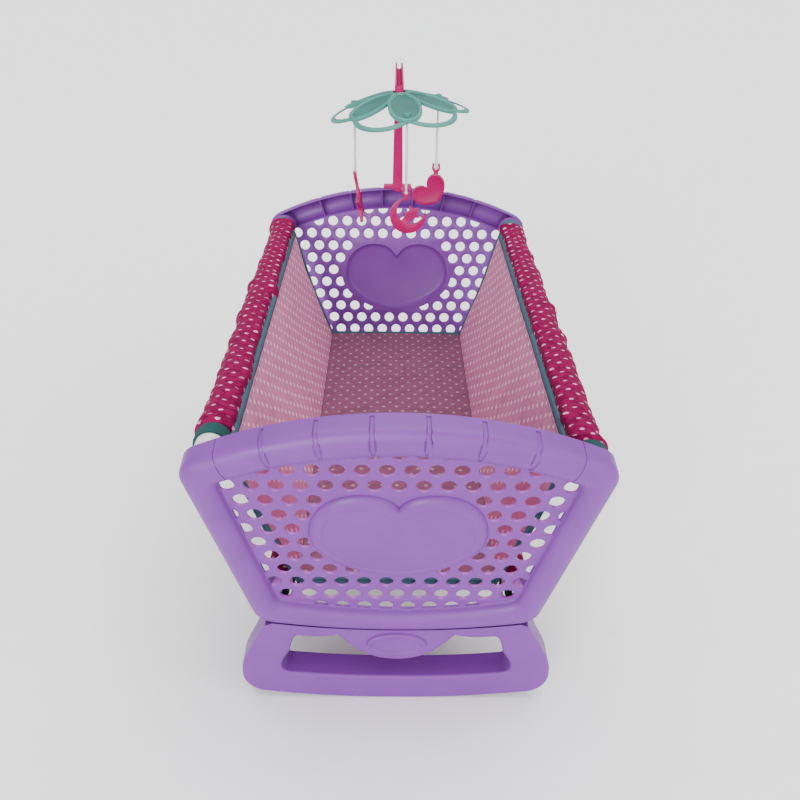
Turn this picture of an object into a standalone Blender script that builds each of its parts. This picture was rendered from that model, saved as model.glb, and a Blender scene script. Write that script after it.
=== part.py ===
"""Doll cradle: two perforated end panels on rockers, four tubes, a cloth sling and a hanging mobile.

Metres, +Z up.  X is across the cradle, -Y is the footboard end, +Y is the headboard end that
carries the mobile.  The origin is on the floor, under the middle of the cradle.
"""
import bpy
import bmesh
from math import asin, atan2, cos, pi, radians, sin, sqrt, tan
from mathutils import Matrix, Vector

MM = 0.001

# Fits
GAP = 0.3 * MM                      # between two pieces that touch
OVERRUN = 2.0 * MM                  # how far a cut runs past what it cuts
SINK = 0.8 * MM                     # how far a rib or boss roots in the wall that carries it

# End panels: a leaning web of holes inside a half-round rail that is open to the inside
PANEL_SPACING = 565.6 * MM          # between the outer faces of the webs, at the first row of holes
PANEL_LEAN = radians(10.0)          # outwards, going up
PANEL_RISE = 27.0 * MM              # top of the rail above the first row of holes
PANEL_DROP = 199.0 * MM             # bottom of the rail below the first row of holes
PANEL_HALF_WIDTH = 164.3 * MM       # of the slanted sides, at the first row of holes
SIDE_SLANT = radians(14.3)
TOP_ARC_RADIUS = 351.0 * MM
BOTTOM_ARC_RADIUS = 594.0 * MM
TOP_CORNER_RADIUS = 16.5 * MM
BOTTOM_CORNER_RADIUS = 20.0 * MM
TOP_RAIL_WIDTH = 26.0 * MM
SIDE_RAIL_WIDTH = 23.7 * MM
BOTTOM_RAIL_WIDTH = 23.0 * MM
WEB_BOTTOM_RADIUS = 387.0 * MM
WEB_TOP_CORNER = 7.0 * MM
WEB_BOTTOM_CORNER = 9.0 * MM
RAIL_CROWN = 9.0 * MM               # how far the rail bulges out of the web
RAIL_DEPTH = 14.6 * MM              # how far its flange stands inwards of the web
PANEL_WALL = 2.5 * MM

# Holes in the web
HOLE_PITCH = 18.0 * MM
HOLE_DIAMETER = 12.0 * MM
HOLE_ROWS = 12
HOLE_COLUMNS = 9
HOLE_SIDES = 6
HOLE_MARGIN = 0.6 * MM              # a hole stops this far from the rail
HEART_MARGIN = 1.2 * MM             # and this far from the heart
SMALLEST_HOLE_SHARE = 0.18          # a hole cut down to less than this is left out

# Heart pressed out of each web
HEART_HALF_WIDTH = 69.0 * MM
HEART_NOTCH = 54.0 * MM             # below the first row of holes
HEART_WIDEST = 84.0 * MM
HEART_POINT = 132.0 * MM
HEART_HEIGHT = 5.5 * MM
HEART_FLANK = 11.0 * MM
HEART_LOBE_SHARES = (0.145, 0.27, 1.0, 0.28)      # handles of the lobe: notch side, then outer side
HEART_TAPER_SHARES = (1.0, 0.58, 0.39, 0.98)      # handles of the taper: outer side, then point side
HEART_RING_SHARES = ((0.0, -0.1), (0.1, 0.5), (0.45, 0.88), (1.0, 1.0))
HEART_STEPS = 6

# Ribs inside the top rail, with a groove outside each
RIB_PLACES = (1.1 * HOLE_PITCH, 3.3 * HOLE_PITCH, 5.5 * HOLE_PITCH)
RIB_THICKNESS = 1.6 * MM
GROOVE_WIDTH = 2.6 * MM
GROOVE_DEPTH = 1.2 * MM
GROOVE_REACH = 9.0 * MM             # over the top, inwards of the web

# Tubes and the collars that hold their ends
UPPER_TUBE_DIAMETER = 24.0 * MM
LOWER_TUBE_DIAMETER = 20.0 * MM
TUBE_WALL = 1.6 * MM
COLLAR_WALL = 2.2 * MM
LOWER_TUBE_X = 97.0 * MM
LOWER_TUBE_Z = 118.5 * MM

# Self-tapping screws
SCREW_SHANK = 3.0 * MM
SCREW_HEAD = 6.6 * MM
SCREW_HEAD_HEIGHT = 2.2 * MM
SCREW_POINT = 1.5 * MM
SCREW_HOLE = 4.0 * MM
TUBE_SCREW_INSET = 7.5 * MM         # from the end of the tube
TUBE_SCREW_LENGTH = 8.0 * MM
ROCKER_SCREW_LENGTH = 15.0 * MM
ROCKER_SCREW_X = 101.0 * MM
BOSS_DIAMETER = 8.5 * MM
BOSS_HEIGHT = 15.0 * MM

# Rockers
ROCKER_HEIGHT = 76.7 * MM           # floor to the panel, at the middle
ROCKER_DEPTH = 25.0 * MM
ROCKER_SETBACK = 1.7 * MM           # of its front behind the crown of the bottom rail
ROCKER_HALF_WIDTH = 133.0 * MM
ROCKER_TOP_HALF_WIDTH = 110.0 * MM
ROCKER_SHOULDER = 62.0 * MM         # height where the straight side starts to round outwards
ROCKER_RADIUS = 760.0 * MM          # of the arc that rocks on the floor
ROCKER_CORNER = 21.0 * MM
ROCKER_FLAT = 14.0 * MM             # short flat under the middle, where the cradle rests level
ROCKER_BAR = 26.5 * MM              # height of the bar under the slot
ROCKER_WALL = 2.8 * MM
SLOT_HALF_WIDTH = 100.5 * MM
SLOT_TOP_HALF_WIDTH = 91.0 * MM
SLOT_TOP = 73.0 * MM
SLOT_WAVE = 1.6 * MM
SLOT_CORNER = 9.0 * MM
LOBE_HALF_WIDTH = 49.5 * MM
LOBE_BOTTOM = 46.5 * MM
BADGE_HALF_WIDTH = 25.0 * MM
BADGE_HALF_HEIGHT = 11.5 * MM
BADGE_HEIGHT = 66.0 * MM
BADGE_PROUD = 2.0 * MM

# Cloth
SLEEVE_THICKNESS = 1.4 * MM
SLEEVE_LENGTH = 478.0 * MM
LEFT_SLEEVE_SHIFT = 9.0 * MM
RIGHT_SLEEVE_SHIFT = -3.0 * MM
CUFF_LENGTH = 13.0 * MM
CUFF_PROUD = 0.5 * MM
LOWER_SLEEVE_LENGTH = 462.0 * MM
WALL_THICKNESS = 2.6 * MM
WALL_LENGTH = 464.0 * MM
WALL_BOW = 2.5 * MM
BINDING_WIDTH = 8.0 * MM
BINDING_THICKNESS = 3.4 * MM
WALL_HEM = 7.0 * MM                 # the walls run this far past the lower sleeves, to the floor
PIPING_HEIGHT = 9.0 * MM
FLOOR_TOP = 124.0 * MM
FLOOR_PAD = 4.0 * MM
FLOOR_CROWN = 1.6 * MM
BASE_BOARD = 3.0 * MM
FLOOR_COVER = 1.5 * MM

# Mobile
CLIP_WIDTH = 34.0 * MM
CLIP_WALL = 2.4 * MM
CLIP_LEG = 20.0 * MM
CLIP_LIP = 2.6 * MM
CLIP_TONGUE = 8.0 * MM              # under the arm the lip runs this far down
ARM_FOOT_WIDTH = 12.5 * MM
ARM_BEND_WIDTH = 8.5 * MM
ARM_TIP_WIDTH = 9.5 * MM
ARM_WEB = 2.0 * MM
ARM_CHANNEL = 6.5 * MM
ARM_BEND = 12.0 * MM
ARM_TOP = 442.0 * MM                # height of the channel's floor at the bend
HUB_Y = 177.0 * MM
HUB_TOP = 432.0 * MM
HUB_TILT = radians(-3.5)            # about Y: the flower hangs a little lower on the left
HUB_DIAMETER = 22.0 * MM
HUB_THICKNESS = 4.0 * MM
HUB_BOSS_DIAMETER = 9.5 * MM
HUB_BOSS_HEIGHT = 8.0 * MM
PIN_DIAMETER = 4.0 * MM
PIN_HEAD = 9.0 * MM
PIN_HEAD_HEIGHT = 2.5 * MM
PIN_FIT = 0.35 * MM                 # running clearance round the pin

# Flower: solid dished petals, and an open loop from the tip of each to the next
PETAL_COUNT = 6
FLOWER_TURN = radians(277.6)        # the front petal, from +X
FLOWER_REACH = 75.5 * MM            # outer edge of the loops
FLOWER_DROOP = 22.3 * MM            # and how far they hang below the hub
FLOWER_DROOP_POWER = 1.75
PETAL_START = 5.0 * MM
PETAL_REACH = 64.5 * MM
PETAL_HALF_WIDTH = 17.5 * MM
PETAL_SWELL_SHARE = 0.16            # wider towards the tip
PETAL_THICKNESS = 2.2 * MM
PETAL_RIM = 2.6 * MM
PETAL_RIM_HEIGHT = 1.8 * MM
PETAL_STEP = 0.4 * MM               # every other petal lies this much lower
PETAL_STEPS = 14
LOOP_BAR = 5.0 * MM
LOOP_THICKNESS = 2.0 * MM
LOOP_START = 60.0 * MM
LOOP_LEAN = radians(50.0)           # a loop leaves its petal this far off the petal's own line
LOOP_STEPS = 10
NUB_RADIUS = 54.0 * MM
NUB_DIAMETER = 7.5 * MM
NUB_HEIGHT = 2.6 * MM

# Strings and charms
STRING_COUNT = 3
STRING_DIAMETER = 2.3 * MM
STRING_SLACK = 0.6 * MM             # under the petal, room for the swing
STAR_STRING = 76.5 * MM
MOON_STRING = 77.0 * MM
HEART_STRING = 76.0 * MM
CHARM_THICKNESS = 3.6 * MM
EYE_DIAMETER = 9.6 * MM
EYE_BORE = 5.2 * MM
EYE_SLOT = 3.2 * MM
EYE_STEM = 3.0 * MM                 # between the eye and the charm
STAR_RADIUS = 25.0 * MM
STAR_WAIST_SHARE = 0.48
MOON_RADIUS = 19.5 * MM
MOON_BITE_SHARE = 0.78
MOON_STAR_RADIUS = 9.5 * MM
MOON_BRIDGE_SHARES = ((-0.5, -0.5), (-0.2, -0.8), (0.3, 0.0), (0.0, 0.2))
CHARM_HEART_HALF_WIDTH = 21.0 * MM
CHARM_HEART_POINT = 20.5 * MM       # below its notch
CHARM_HEART_WIDEST = 2.0 * MM       # below its notch
CHARM_HEART_LOBE_SHARES = (0.2, 0.62, 1.0, 0.6)
CHARM_HEART_TAPER_SHARES = (1.0, 0.5, 0.4, 0.95)
CHARM_HEART_HANG = radians(40.0)    # the heart hangs by one lobe, turned this far
STAR_TURN = radians(88.0)
STAR_LEAN = radians(-9.0)
MOON_TURN = radians(4.0)
HEART_TURN = radians(-4.0)

# Round pieces
FEW_SIDES = 6
ROUND_SIDES = 12

# Worked out
SPACING_HALF = PANEL_SPACING / 2
ROW0_HEIGHT = ROCKER_HEIGHT + GAP + PANEL_DROP * cos(PANEL_LEAN)
UPPER_RADIUS = UPPER_TUBE_DIAMETER / 2
LOWER_RADIUS = LOWER_TUBE_DIAMETER / 2
FOOTBOARD_PLACE = (Matrix.Translation((0, -SPACING_HALF, ROW0_HEIGHT))
                   @ Matrix.Rotation(PANEL_LEAN, 4, "X"))
HALF_TURN = Matrix.Rotation(pi, 4, "Z")

COLOURS = {
    "lilac plastic": ((0.40, 0.26, 0.62), 0.38, 0.0),
    "white tube": ((0.82, 0.82, 0.80), 0.35, 0.0),
    "steel": ((0.60, 0.60, 0.62), 0.35, 1.0),
    "hot pink cloth": ((0.55, 0.02, 0.13), 0.85, 0.0),
    "pale pink cloth": ((0.62, 0.22, 0.32), 0.85, 0.0),
    "blue green binding": ((0.13, 0.25, 0.30), 0.80, 0.0),
    "grey board": ((0.35, 0.33, 0.31), 0.80, 0.0),
    "hot pink plastic": ((0.62, 0.04, 0.22), 0.35, 0.0),
    "sea green plastic": ((0.18, 0.48, 0.42), 0.40, 0.0),
    "white string": ((0.70, 0.68, 0.64), 0.80, 0.0),
}


def clear_scene():
    for item in list(bpy.data.objects):
        bpy.data.objects.remove(item, do_unlink=True)


def finish_for(name):
    """The named material, made on its first use."""
    if name in bpy.data.materials:
        return bpy.data.materials[name]
    colour, roughness, metallic = COLOURS[name]
    made = bpy.data.materials.new(name)
    made.use_nodes = True
    shader = made.node_tree.nodes["Principled BSDF"]
    shader.inputs["Base Color"].default_value = (*colour, 1.0)
    shader.inputs["Roughness"].default_value = roughness
    shader.inputs["Metallic"].default_value = metallic
    return made


def add_object(name, mesh, finish, place=Matrix.Identity(4), smooth=True):
    """A named object with its own copy of the finish."""
    piece = bpy.data.objects.new(name, mesh)
    bpy.context.scene.collection.objects.link(piece)
    piece.matrix_world = place
    if not mesh.materials:
        mesh.materials.append(finish_for(finish))
    if smooth:
        mesh.shade_smooth()
        mesh.set_sharp_from_angle(angle=radians(35.0))
    return piece


def mesh_of(name, faces_maker):
    """A mesh whose faces faces_maker adds to a bmesh, pointing out."""
    work = bmesh.new()
    faces_maker(work)
    bmesh.ops.recalc_face_normals(work, faces=work.faces)
    mesh = bpy.data.meshes.new(name)
    work.to_mesh(mesh)
    work.free()
    return mesh


def lofted(name, rings, capped=True, round_trip=False):
    """A skin over rings of equal length; capped at both ends, or joined end to end."""
    def make(work):
        rows = [[work.verts.new(point) for point in ring] for ring in rings]
        pairs = list(zip(rows, rows[1:]))
        if round_trip:
            pairs.append((rows[-1], rows[0]))
        for low, high in pairs:
            for index in range(len(low)):
                after = (index + 1) % len(low)
                work.faces.new((low[index], low[after], high[after], high[index]))
        if capped and not round_trip:
            work.faces.new(rows[0])
            work.faces.new(rows[-1])
    return mesh_of(name, make)


def prism(name, outline, low, high, to_space):
    """A flat outline carried from depth low to depth high; to_space puts a point in space."""
    return lofted(name, [[to_space(point, depth) for point in outline] for depth in (low, high)])


def joined(name, meshes):
    """Several closed meshes as one, for a cutter."""
    work = bmesh.new()
    for mesh in meshes:
        work.from_mesh(mesh)
    together = bpy.data.meshes.new(name)
    work.to_mesh(together)
    work.free()
    return together


def shaped(name, mesh, steps):
    """The mesh after a list of Boolean steps (operation, tool mesh), all in one space."""
    body = bpy.data.objects.new(name, mesh)
    bpy.context.scene.collection.objects.link(body)
    tools = []
    for number, (operation, tool_mesh) in enumerate(steps):
        tool = bpy.data.objects.new(f"{name}_tool_{number}", tool_mesh)
        bpy.context.scene.collection.objects.link(tool)
        tool.hide_render = True
        tool.display_type = "WIRE"
        tools.append(tool)
        cut = body.modifiers.new(f"step {number}", "BOOLEAN")
        cut.operation = operation
        cut.solver = "EXACT"
        cut.object = tool
    ready = body.evaluated_get(bpy.context.evaluated_depsgraph_get())
    result = bpy.data.meshes.new_from_object(ready)
    result.name = name
    for item in [body] + tools:
        bpy.data.objects.remove(item, do_unlink=True)
    return result


def flat(u, v):
    return Vector((u, v))


def circle(centre, radius, sides=ROUND_SIDES, turn=0.0):
    """A polygon round centre whose flats touch the circle, so that a bore is never too small."""
    reach = radius / cos(pi / sides)
    return [centre + reach * flat(cos(turn + 2 * pi * k / sides), sin(turn + 2 * pi * k / sides))
            for k in range(sides)]


def inner_circle(centre, radius, sides=ROUND_SIDES, turn=0.0):
    """A polygon round centre whose corners are on the circle, for a shaft or a tube."""
    return [centre + radius * flat(cos(turn + 2 * pi * k / sides), sin(turn + 2 * pi * k / sides))
            for k in range(sides)]


def bezier(start, handle, other_handle, end, steps):
    """Points along a cubic curve, without its last point."""
    points = []
    for k in range(steps):
        t = k / steps
        points.append(start * (1 - t) ** 3 + handle * 3 * t * (1 - t) ** 2
                      + other_handle * 3 * t * t * (1 - t) + end * t ** 3)
    return points


def mirrored(half):
    """A closed outline from its right half, whose first and last points are on the middle line."""
    return half + [flat(-p.x, p.y) for p in reversed(half[1:-1])]


def turned_area(outline):
    return sum(a.x * b.y - b.x * a.y for a, b in zip(outline, outline[1:] + outline[:1])) / 2


def inset(outline, distance, longest_share=1.35):
    """The outline moved inwards by distance, with its sharp corners held to longest_share of it."""
    side = 1 if turned_area(outline) > 0 else -1
    moved = []
    for before, here, after in zip(outline[-1:] + outline[:-1], outline, outline[1:] + outline[:1]):
        first = (here - before).normalized()
        second = (after - here).normalized()
        normal = flat(-first.y - second.y, first.x + second.x).normalized() * side
        spread = max(abs(normal.dot(flat(-first.y, first.x))), 1 / longest_share)
        moved.append(here + normal * distance / spread)
    return moved


def clipped(outline, corner, inward):
    """The part of a convex outline on the inward side of the line through corner."""
    kept = []
    for here, after in zip(outline, outline[1:] + outline[:1]):
        depth = (here - corner).dot(inward)
        next_depth = (after - corner).dot(inward)
        if depth >= 0:
            kept.append(here)
        if depth * next_depth < 0:
            kept.append(here.lerp(after, depth / (depth - next_depth)))
    return kept


# End panels

def panel_point(point, depth):
    """A point of the panel's own frame: (across, up the web) and how far out of the web."""
    return Vector((point.x, -depth, point.y))


def corner_centre(arc_middle, arc_radius, half_width, corner, upper):
    """Centre of the fillet between an arc and the slanted side of the panel."""
    along = flat(sin(SIDE_SLANT), cos(SIDE_SLANT))
    inward = flat(-cos(SIDE_SLANT), sin(SIDE_SLANT))
    start = flat(half_width, 0) + inward * corner - arc_middle
    middle = start.dot(along)
    reach = sqrt(middle ** 2 - start.length_squared + (arc_radius - corner) ** 2)
    return arc_middle + start + along * (reach - middle if upper else -reach - middle)


def arc(centre, radius, start, end, steps):
    """Points of an arc from angle start to angle end, without the last."""
    return [centre + radius * flat(cos(start + (end - start) * k / steps),
                                   sin(start + (end - start) * k / steps)) for k in range(steps)]


def arched_outline(rise, top_radius, half_width, drop, bottom_radius, top_corner, bottom_corner,
                   top_steps=6, corner_steps=3, side_steps=1, bottom_steps=4):
    """The panel's outline: arched top and bottom, slanted sides, rounded corners."""
    top_middle = flat(0, rise - top_radius)
    bottom_middle = flat(0, bottom_radius - drop)
    high = corner_centre(top_middle, top_radius, half_width, top_corner, True)
    low = corner_centre(bottom_middle, bottom_radius, half_width, bottom_corner, False)
    high_angle = atan2(high.y - top_middle.y, high.x)
    low_angle = atan2(low.y - bottom_middle.y, low.x)
    side_angle = -SIDE_SLANT
    outward = flat(cos(side_angle), sin(side_angle))
    side_top = high + outward * top_corner
    side_bottom = low + outward * bottom_corner
    half = arc(top_middle, top_radius, pi / 2, high_angle, top_steps)
    half += arc(high, top_corner, high_angle, side_angle, corner_steps)
    half += [side_top.lerp(side_bottom, k / side_steps) for k in range(side_steps)]
    half += arc(low, bottom_corner, side_angle, low_angle, corner_steps)
    half += arc(bottom_middle, bottom_radius, low_angle, -pi / 2, bottom_steps)
    half.append(flat(0, -drop))
    return mirrored(half)


def rim_outline():
    return arched_outline(PANEL_RISE, TOP_ARC_RADIUS, PANEL_HALF_WIDTH, PANEL_DROP, BOTTOM_ARC_RADIUS,
                          TOP_CORNER_RADIUS, BOTTOM_CORNER_RADIUS)


def web_outline():
    return arched_outline(PANEL_RISE - TOP_RAIL_WIDTH, TOP_ARC_RADIUS - TOP_RAIL_WIDTH,
                          PANEL_HALF_WIDTH - SIDE_RAIL_WIDTH / cos(SIDE_SLANT),
                          PANEL_DROP - BOTTOM_RAIL_WIDTH, WEB_BOTTOM_RADIUS,
                          WEB_TOP_CORNER, WEB_BOTTOM_CORNER)


def heart_outline(half_width, notch, widest, point, lobe_shares, taper_shares, steps):
    """A heart with a soft point, from its notch down; heights are measured up from zero."""
    bottom = widest - point
    near_x, near_y, far_x, far_y = lobe_shares
    out_x, out_y, low_x, low_y = taper_shares
    lift = (notch - point) * near_y
    lobe = bezier(flat(0, notch), flat(half_width * near_x, notch + lift),
                  flat(half_width * far_x, notch + (notch - point) * far_y),
                  flat(half_width, widest), steps)
    taper = bezier(flat(half_width, widest), flat(half_width * out_x, widest - bottom * out_y),
                   flat(half_width * low_x, widest - bottom * low_y), flat(0, point), steps)
    return mirrored(lobe + taper + [flat(0, point)])


def panel_heart():
    return heart_outline(HEART_HALF_WIDTH, -HEART_NOTCH, -HEART_WIDEST, -HEART_POINT,
                         HEART_LOBE_SHARES, HEART_TAPER_SHARES, HEART_STEPS)


def panel_shell():
    """Web and rail as one skin, before its wall gets its thickness."""
    web = web_outline()
    rim = rim_outline()
    turns = 5
    rings = []
    for k in range(turns + 1):
        share = (1 - cos(pi * k / turns)) / 2
        bulge = RAIL_CROWN * sin(pi * k / turns) if k < turns else 0
        rings.append([panel_point(a.lerp(b, share), bulge) for a, b in zip(web, rim)])
    rings.append([panel_point(b, -RAIL_DEPTH) for b in rim])

    def make(work):
        rows = [[work.verts.new(point) for point in ring] for ring in rings]
        work.faces.new(rows[0])
        for low, high in zip(rows, rows[1:]):
            for index in range(len(low)):
                after = (index + 1) % len(low)
                work.faces.new((low[index], low[after], high[after], high[index]))
    mesh = mesh_of("panel_shell", make)
    if mesh.polygons[0].normal.y > 0:
        mesh.flip_normals()
    body = bpy.data.objects.new("panel_shell", mesh)
    bpy.context.scene.collection.objects.link(body)
    wall = body.modifiers.new("wall", "SOLIDIFY")
    wall.thickness = PANEL_WALL
    wall.offset = -1
    wall.use_even_offset = True
    ready = body.evaluated_get(bpy.context.evaluated_depsgraph_get())
    solid = bpy.data.meshes.new_from_object(ready)
    bpy.data.objects.remove(body, do_unlink=True)
    return solid


def heart_solid(name, outline, flank, height, base):
    """A pillow over the outline, from depth base, with a rounded flank."""
    rings = []
    for inset_share, height_share in HEART_RING_SHARES:
        ring = inset(outline, flank * inset_share, 1.2)
        rings.append([panel_point(p, base + height * height_share) for p in ring])
    return lofted(name, rings)


def hole_outlines():
    """Each hole of the staggered pattern, cut down where the rail or the heart stands over it."""
    edge = inset(web_outline(), HOLE_MARGIN)
    heart = panel_heart()
    edge_side = 1 if turned_area(edge) > 0 else -1
    heart_side = 1 if turned_area(heart) > 0 else -1
    row_pitch = HOLE_PITCH * sin(pi / 3)
    # A hole's few sides enclose as much as the round hole
    radius = HOLE_DIAMETER / 2 * sqrt(2 * pi / HOLE_SIDES / sin(2 * pi / HOLE_SIDES))
    full = pi * (HOLE_DIAMETER / 2) ** 2
    found = []
    for row in range(HOLE_ROWS):
        shift = HOLE_PITCH / 2 if row % 2 else 0
        for column in range(-HOLE_COLUMNS, HOLE_COLUMNS + 1):
            centre = flat(column * HOLE_PITCH + shift, -row * row_pitch)
            hole = inner_circle(centre, radius, HOLE_SIDES, pi / HOLE_SIDES)
            for here, after in zip(edge, edge[1:] + edge[:1]):
                along = (after - here).normalized() * edge_side
                hole = clipped(hole, here, flat(-along.y, along.x)) if hole else hole
            inside = False
            nearest = None
            for here, after in zip(heart, heart[1:] + heart[:1]):
                run = after - here
                share = min(max((centre - here).dot(run) / run.length_squared, 0), 1)
                foot = here + run * share
                if nearest is None or (centre - foot).length < nearest[0]:
                    outward = flat(run.y, -run.x).normalized() * heart_side
                    nearest = ((centre - foot).length, foot, outward)
                if (here.y > centre.y) != (after.y > centre.y):
                    crossing = here.x + run.x * (centre.y - here.y) / run.y
                    inside = inside != (crossing > centre.x)
            if inside or not hole:
                continue
            hole = clipped(hole, nearest[1] + nearest[2] * HEART_MARGIN, nearest[2])
            if len(hole) > 2 and abs(turned_area(hole)) > full * SMALLEST_HOLE_SHARE:
                found.append(hole)
    return found


def rail_arch(across, shrink, start, end, steps):
    """Points (height, depth) of the top rail's arched section, shrunk, from angle start to end."""
    top = PANEL_RISE - TOP_ARC_RADIUS + sqrt(TOP_ARC_RADIUS ** 2 - across ** 2)
    middle = top - TOP_RAIL_WIDTH / 2
    return [(middle - (TOP_RAIL_WIDTH / 2 - shrink) * cos(start + (end - start) * k / steps),
             (RAIL_CROWN - shrink) * sin(start + (end - start) * k / steps))
            for k in range(steps + 1)]


def across_rail(name, section, across, thickness):
    """A plate across the top rail, square to its arc; section holds (height, depth) points."""
    turn = Matrix.Rotation(across / TOP_ARC_RADIUS, 4, "Y")
    middle = flat(across, section[0][0])
    rings = []
    for side in (-thickness / 2, thickness / 2):
        ring = []
        for height, depth in section:
            offset = turn @ Vector((side, 0, height - middle.y))
            ring.append(Vector((middle.x, 0, middle.y)) + offset + Vector((0, -depth, 0)))
        rings.append(ring)
    return lofted(name, rings)


def rib(across):
    root = PANEL_WALL - SINK
    section = rail_arch(across, root, 0, pi, 6)
    top = section[-1][0]
    section.append((top, -RAIL_DEPTH + PANEL_WALL))
    section.append((section[0][0], -PANEL_WALL))
    return across_rail("rib", section, across, RIB_THICKNESS)


def groove(across):
    inner = rail_arch(across, GROOVE_DEPTH, pi / 2, pi, 4)
    inner.append((inner[-1][0], -GROOVE_REACH))
    outer = [(height + (OVERRUN if depth < RAIL_CROWN / 2 else 0), depth + OVERRUN)
             for height, depth in inner]
    outer[-1] = (outer[-2][0], -GROOVE_REACH)
    return across_rail("groove", inner + outer[::-1], across, GROOVE_WIDTH)


def panel_y(z, depth):
    """World Y of the footboard's plane at a depth out of its web, at height z."""
    return -(SPACING_HALF + (z - ROW0_HEIGHT) * tan(PANEL_LEAN) + depth / cos(PANEL_LEAN))


def upper_tube_centre():
    """The upper tube runs through the middle of the panel's rounded corner."""
    middle = flat(0, PANEL_RISE - TOP_ARC_RADIUS)
    corner = corner_centre(middle, TOP_ARC_RADIUS, PANEL_HALF_WIDTH, TOP_CORNER_RADIUS, True)
    return flat(corner.x, ROW0_HEIGHT + corner.y * cos(PANEL_LEAN)
                + RAIL_DEPTH / 2 * sin(PANEL_LEAN))


def lower_tube_centre():
    return flat(LOWER_TUBE_X, LOWER_TUBE_Z)


def round_bar(name, outline, shallow, deep):
    """A bar along Y over a round outline of (x, z), its ends parallel to the panel."""
    back = FOOTBOARD_PLACE.inverted()
    return lofted(name, [[back @ Vector((p.x, panel_y(p.y, depth), p.y)) for p in outline]
                         for depth in (shallow, deep)])


def tube_half_length(height, radius):
    """A tube's square end just clears the leaning web at the tube's lowest line."""
    return -panel_y(height - radius, -PANEL_WALL - GAP) - GAP


def tube_places():
    """Name, middle (x, z), radius and half length of each tube."""
    places = []
    for prefix, centre, radius in (("upper", upper_tube_centre(), UPPER_RADIUS),
                                   ("lower", lower_tube_centre(), LOWER_RADIUS)):
        for side, sign in (("left", -1), ("right", 1)):
            places.append((f"{side}_{prefix}", flat(sign * centre.x, centre.y), radius,
                           tube_half_length(centre.y, radius)))
    return places


def collar_radius(radius):
    return radius + GAP + COLLAR_WALL


def sleeve_radius(radius):
    return radius + GAP + SLEEVE_THICKNESS


def upright_bar(name, x, y, low, high, radius):
    outline = circle(flat(x, y), radius, FEW_SIDES)
    return lofted(name, [[Vector((p.x, p.y, z)) for p in outline] for z in (low, high)])


def moved_mesh(mesh, place):
    mesh.transform(place)
    return mesh


def rocker_screw_bases():
    """Where each rocker screw crosses the underside of the panel, in the panel's frame."""
    places = []
    for across in (-ROCKER_SCREW_X, 0, ROCKER_SCREW_X):
        height = -PANEL_DROP + BOTTOM_ARC_RADIUS - sqrt(BOTTOM_ARC_RADIUS ** 2 - across ** 2)
        places.append((across, height))
    return places


def panel_bar(name, across, depth, low, high, radius):
    """A bar along the panel's own height."""
    outline = circle(flat(across, depth), radius, FEW_SIDES)
    return lofted(name, [[Vector((p.x, -p.y, z)) for p in outline] for z in (low, high)])


def panel_mesh():
    heart = panel_heart()
    hollow = inset(heart, PANEL_WALL + SINK)
    steps = [("UNION", heart_solid("heart", heart, HEART_FLANK, HEART_HEIGHT, 0)),
             ("DIFFERENCE", heart_solid("heart_hollow", hollow, HEART_FLANK - PANEL_WALL,
                                        HEART_HEIGHT + OVERRUN, -PANEL_WALL - OVERRUN))]
    holes = [prism("hole", hole, -PANEL_WALL - OVERRUN, OVERRUN / 2, panel_point)
             for hole in hole_outlines()]
    steps.append(("DIFFERENCE", joined("holes", holes)))
    ribs = [rib(sign * place) for place in RIB_PLACES for sign in (-1, 1)]
    steps.append(("UNION", joined("ribs", ribs)))
    grooves = [groove(sign * place) for place in RIB_PLACES for sign in (-1, 1)]
    steps.append(("DIFFERENCE", joined("grooves", grooves)))
    collars = []
    bores = []
    for name, middle, radius, half in tube_places():
        collars.append(round_bar("collar", inner_circle(middle, collar_radius(radius)),
                                 -RAIL_DEPTH, -PANEL_WALL / 2))
        bores.append(round_bar("bore", circle(middle, radius + GAP),
                               -RAIL_DEPTH - OVERRUN, -PANEL_WALL - GAP))
    steps.append(("UNION", joined("collars", collars)))
    bosses = []
    screw_holes = []
    for across, height in rocker_screw_bases():
        bosses.append(panel_bar("boss", across, -RAIL_DEPTH / 2, height + SINK, height + BOSS_HEIGHT,
                                BOSS_DIAMETER / 2))
        screw_holes.append(panel_bar("screw_hole", across, -RAIL_DEPTH / 2, height - OVERRUN,
                                     height + BOSS_HEIGHT + OVERRUN, SCREW_HOLE / 2))
    steps.append(("UNION", joined("bosses", bosses)))
    steps.append(("DIFFERENCE", joined("bores", bores)))
    back = FOOTBOARD_PLACE.inverted()
    for name, middle, radius, half in tube_places():
        hole = upright_bar("tube_screw_hole", middle.x, TUBE_SCREW_INSET - half,
                           middle.y - collar_radius(radius) - OVERRUN, middle.y, SCREW_HOLE / 2)
        screw_holes.append(moved_mesh(hole, back))
    steps.append(("DIFFERENCE", joined("screw_holes", screw_holes)))
    return shaped("end_panel", panel_shell(), steps)


def make_panels():
    mesh = panel_mesh()
    add_object("footboard_panel", mesh, "lilac plastic", FOOTBOARD_PLACE)
    add_object("headboard_panel", mesh, "lilac plastic", HALF_TURN @ FOOTBOARD_PLACE)


# Rockers

def rocker_front():
    crown_height = -PANEL_DROP + BOTTOM_RAIL_WIDTH / 2
    return -(SPACING_HALF + crown_height * sin(PANEL_LEAN) + RAIL_CROWN * cos(PANEL_LEAN)
             - ROCKER_SETBACK)


def rocker_top(x, y):
    """Height of the rocker's top, parallel to the underside of the panel, at a place."""
    height = -PANEL_DROP + BOTTOM_ARC_RADIUS - sqrt(BOTTOM_ARC_RADIUS ** 2 - x * x)
    tilt = (y + SPACING_HALF + height * sin(PANEL_LEAN)) * tan(PANEL_LEAN)
    return ROW0_HEIGHT + height * cos(PANEL_LEAN) + tilt - GAP / cos(PANEL_LEAN)


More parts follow.
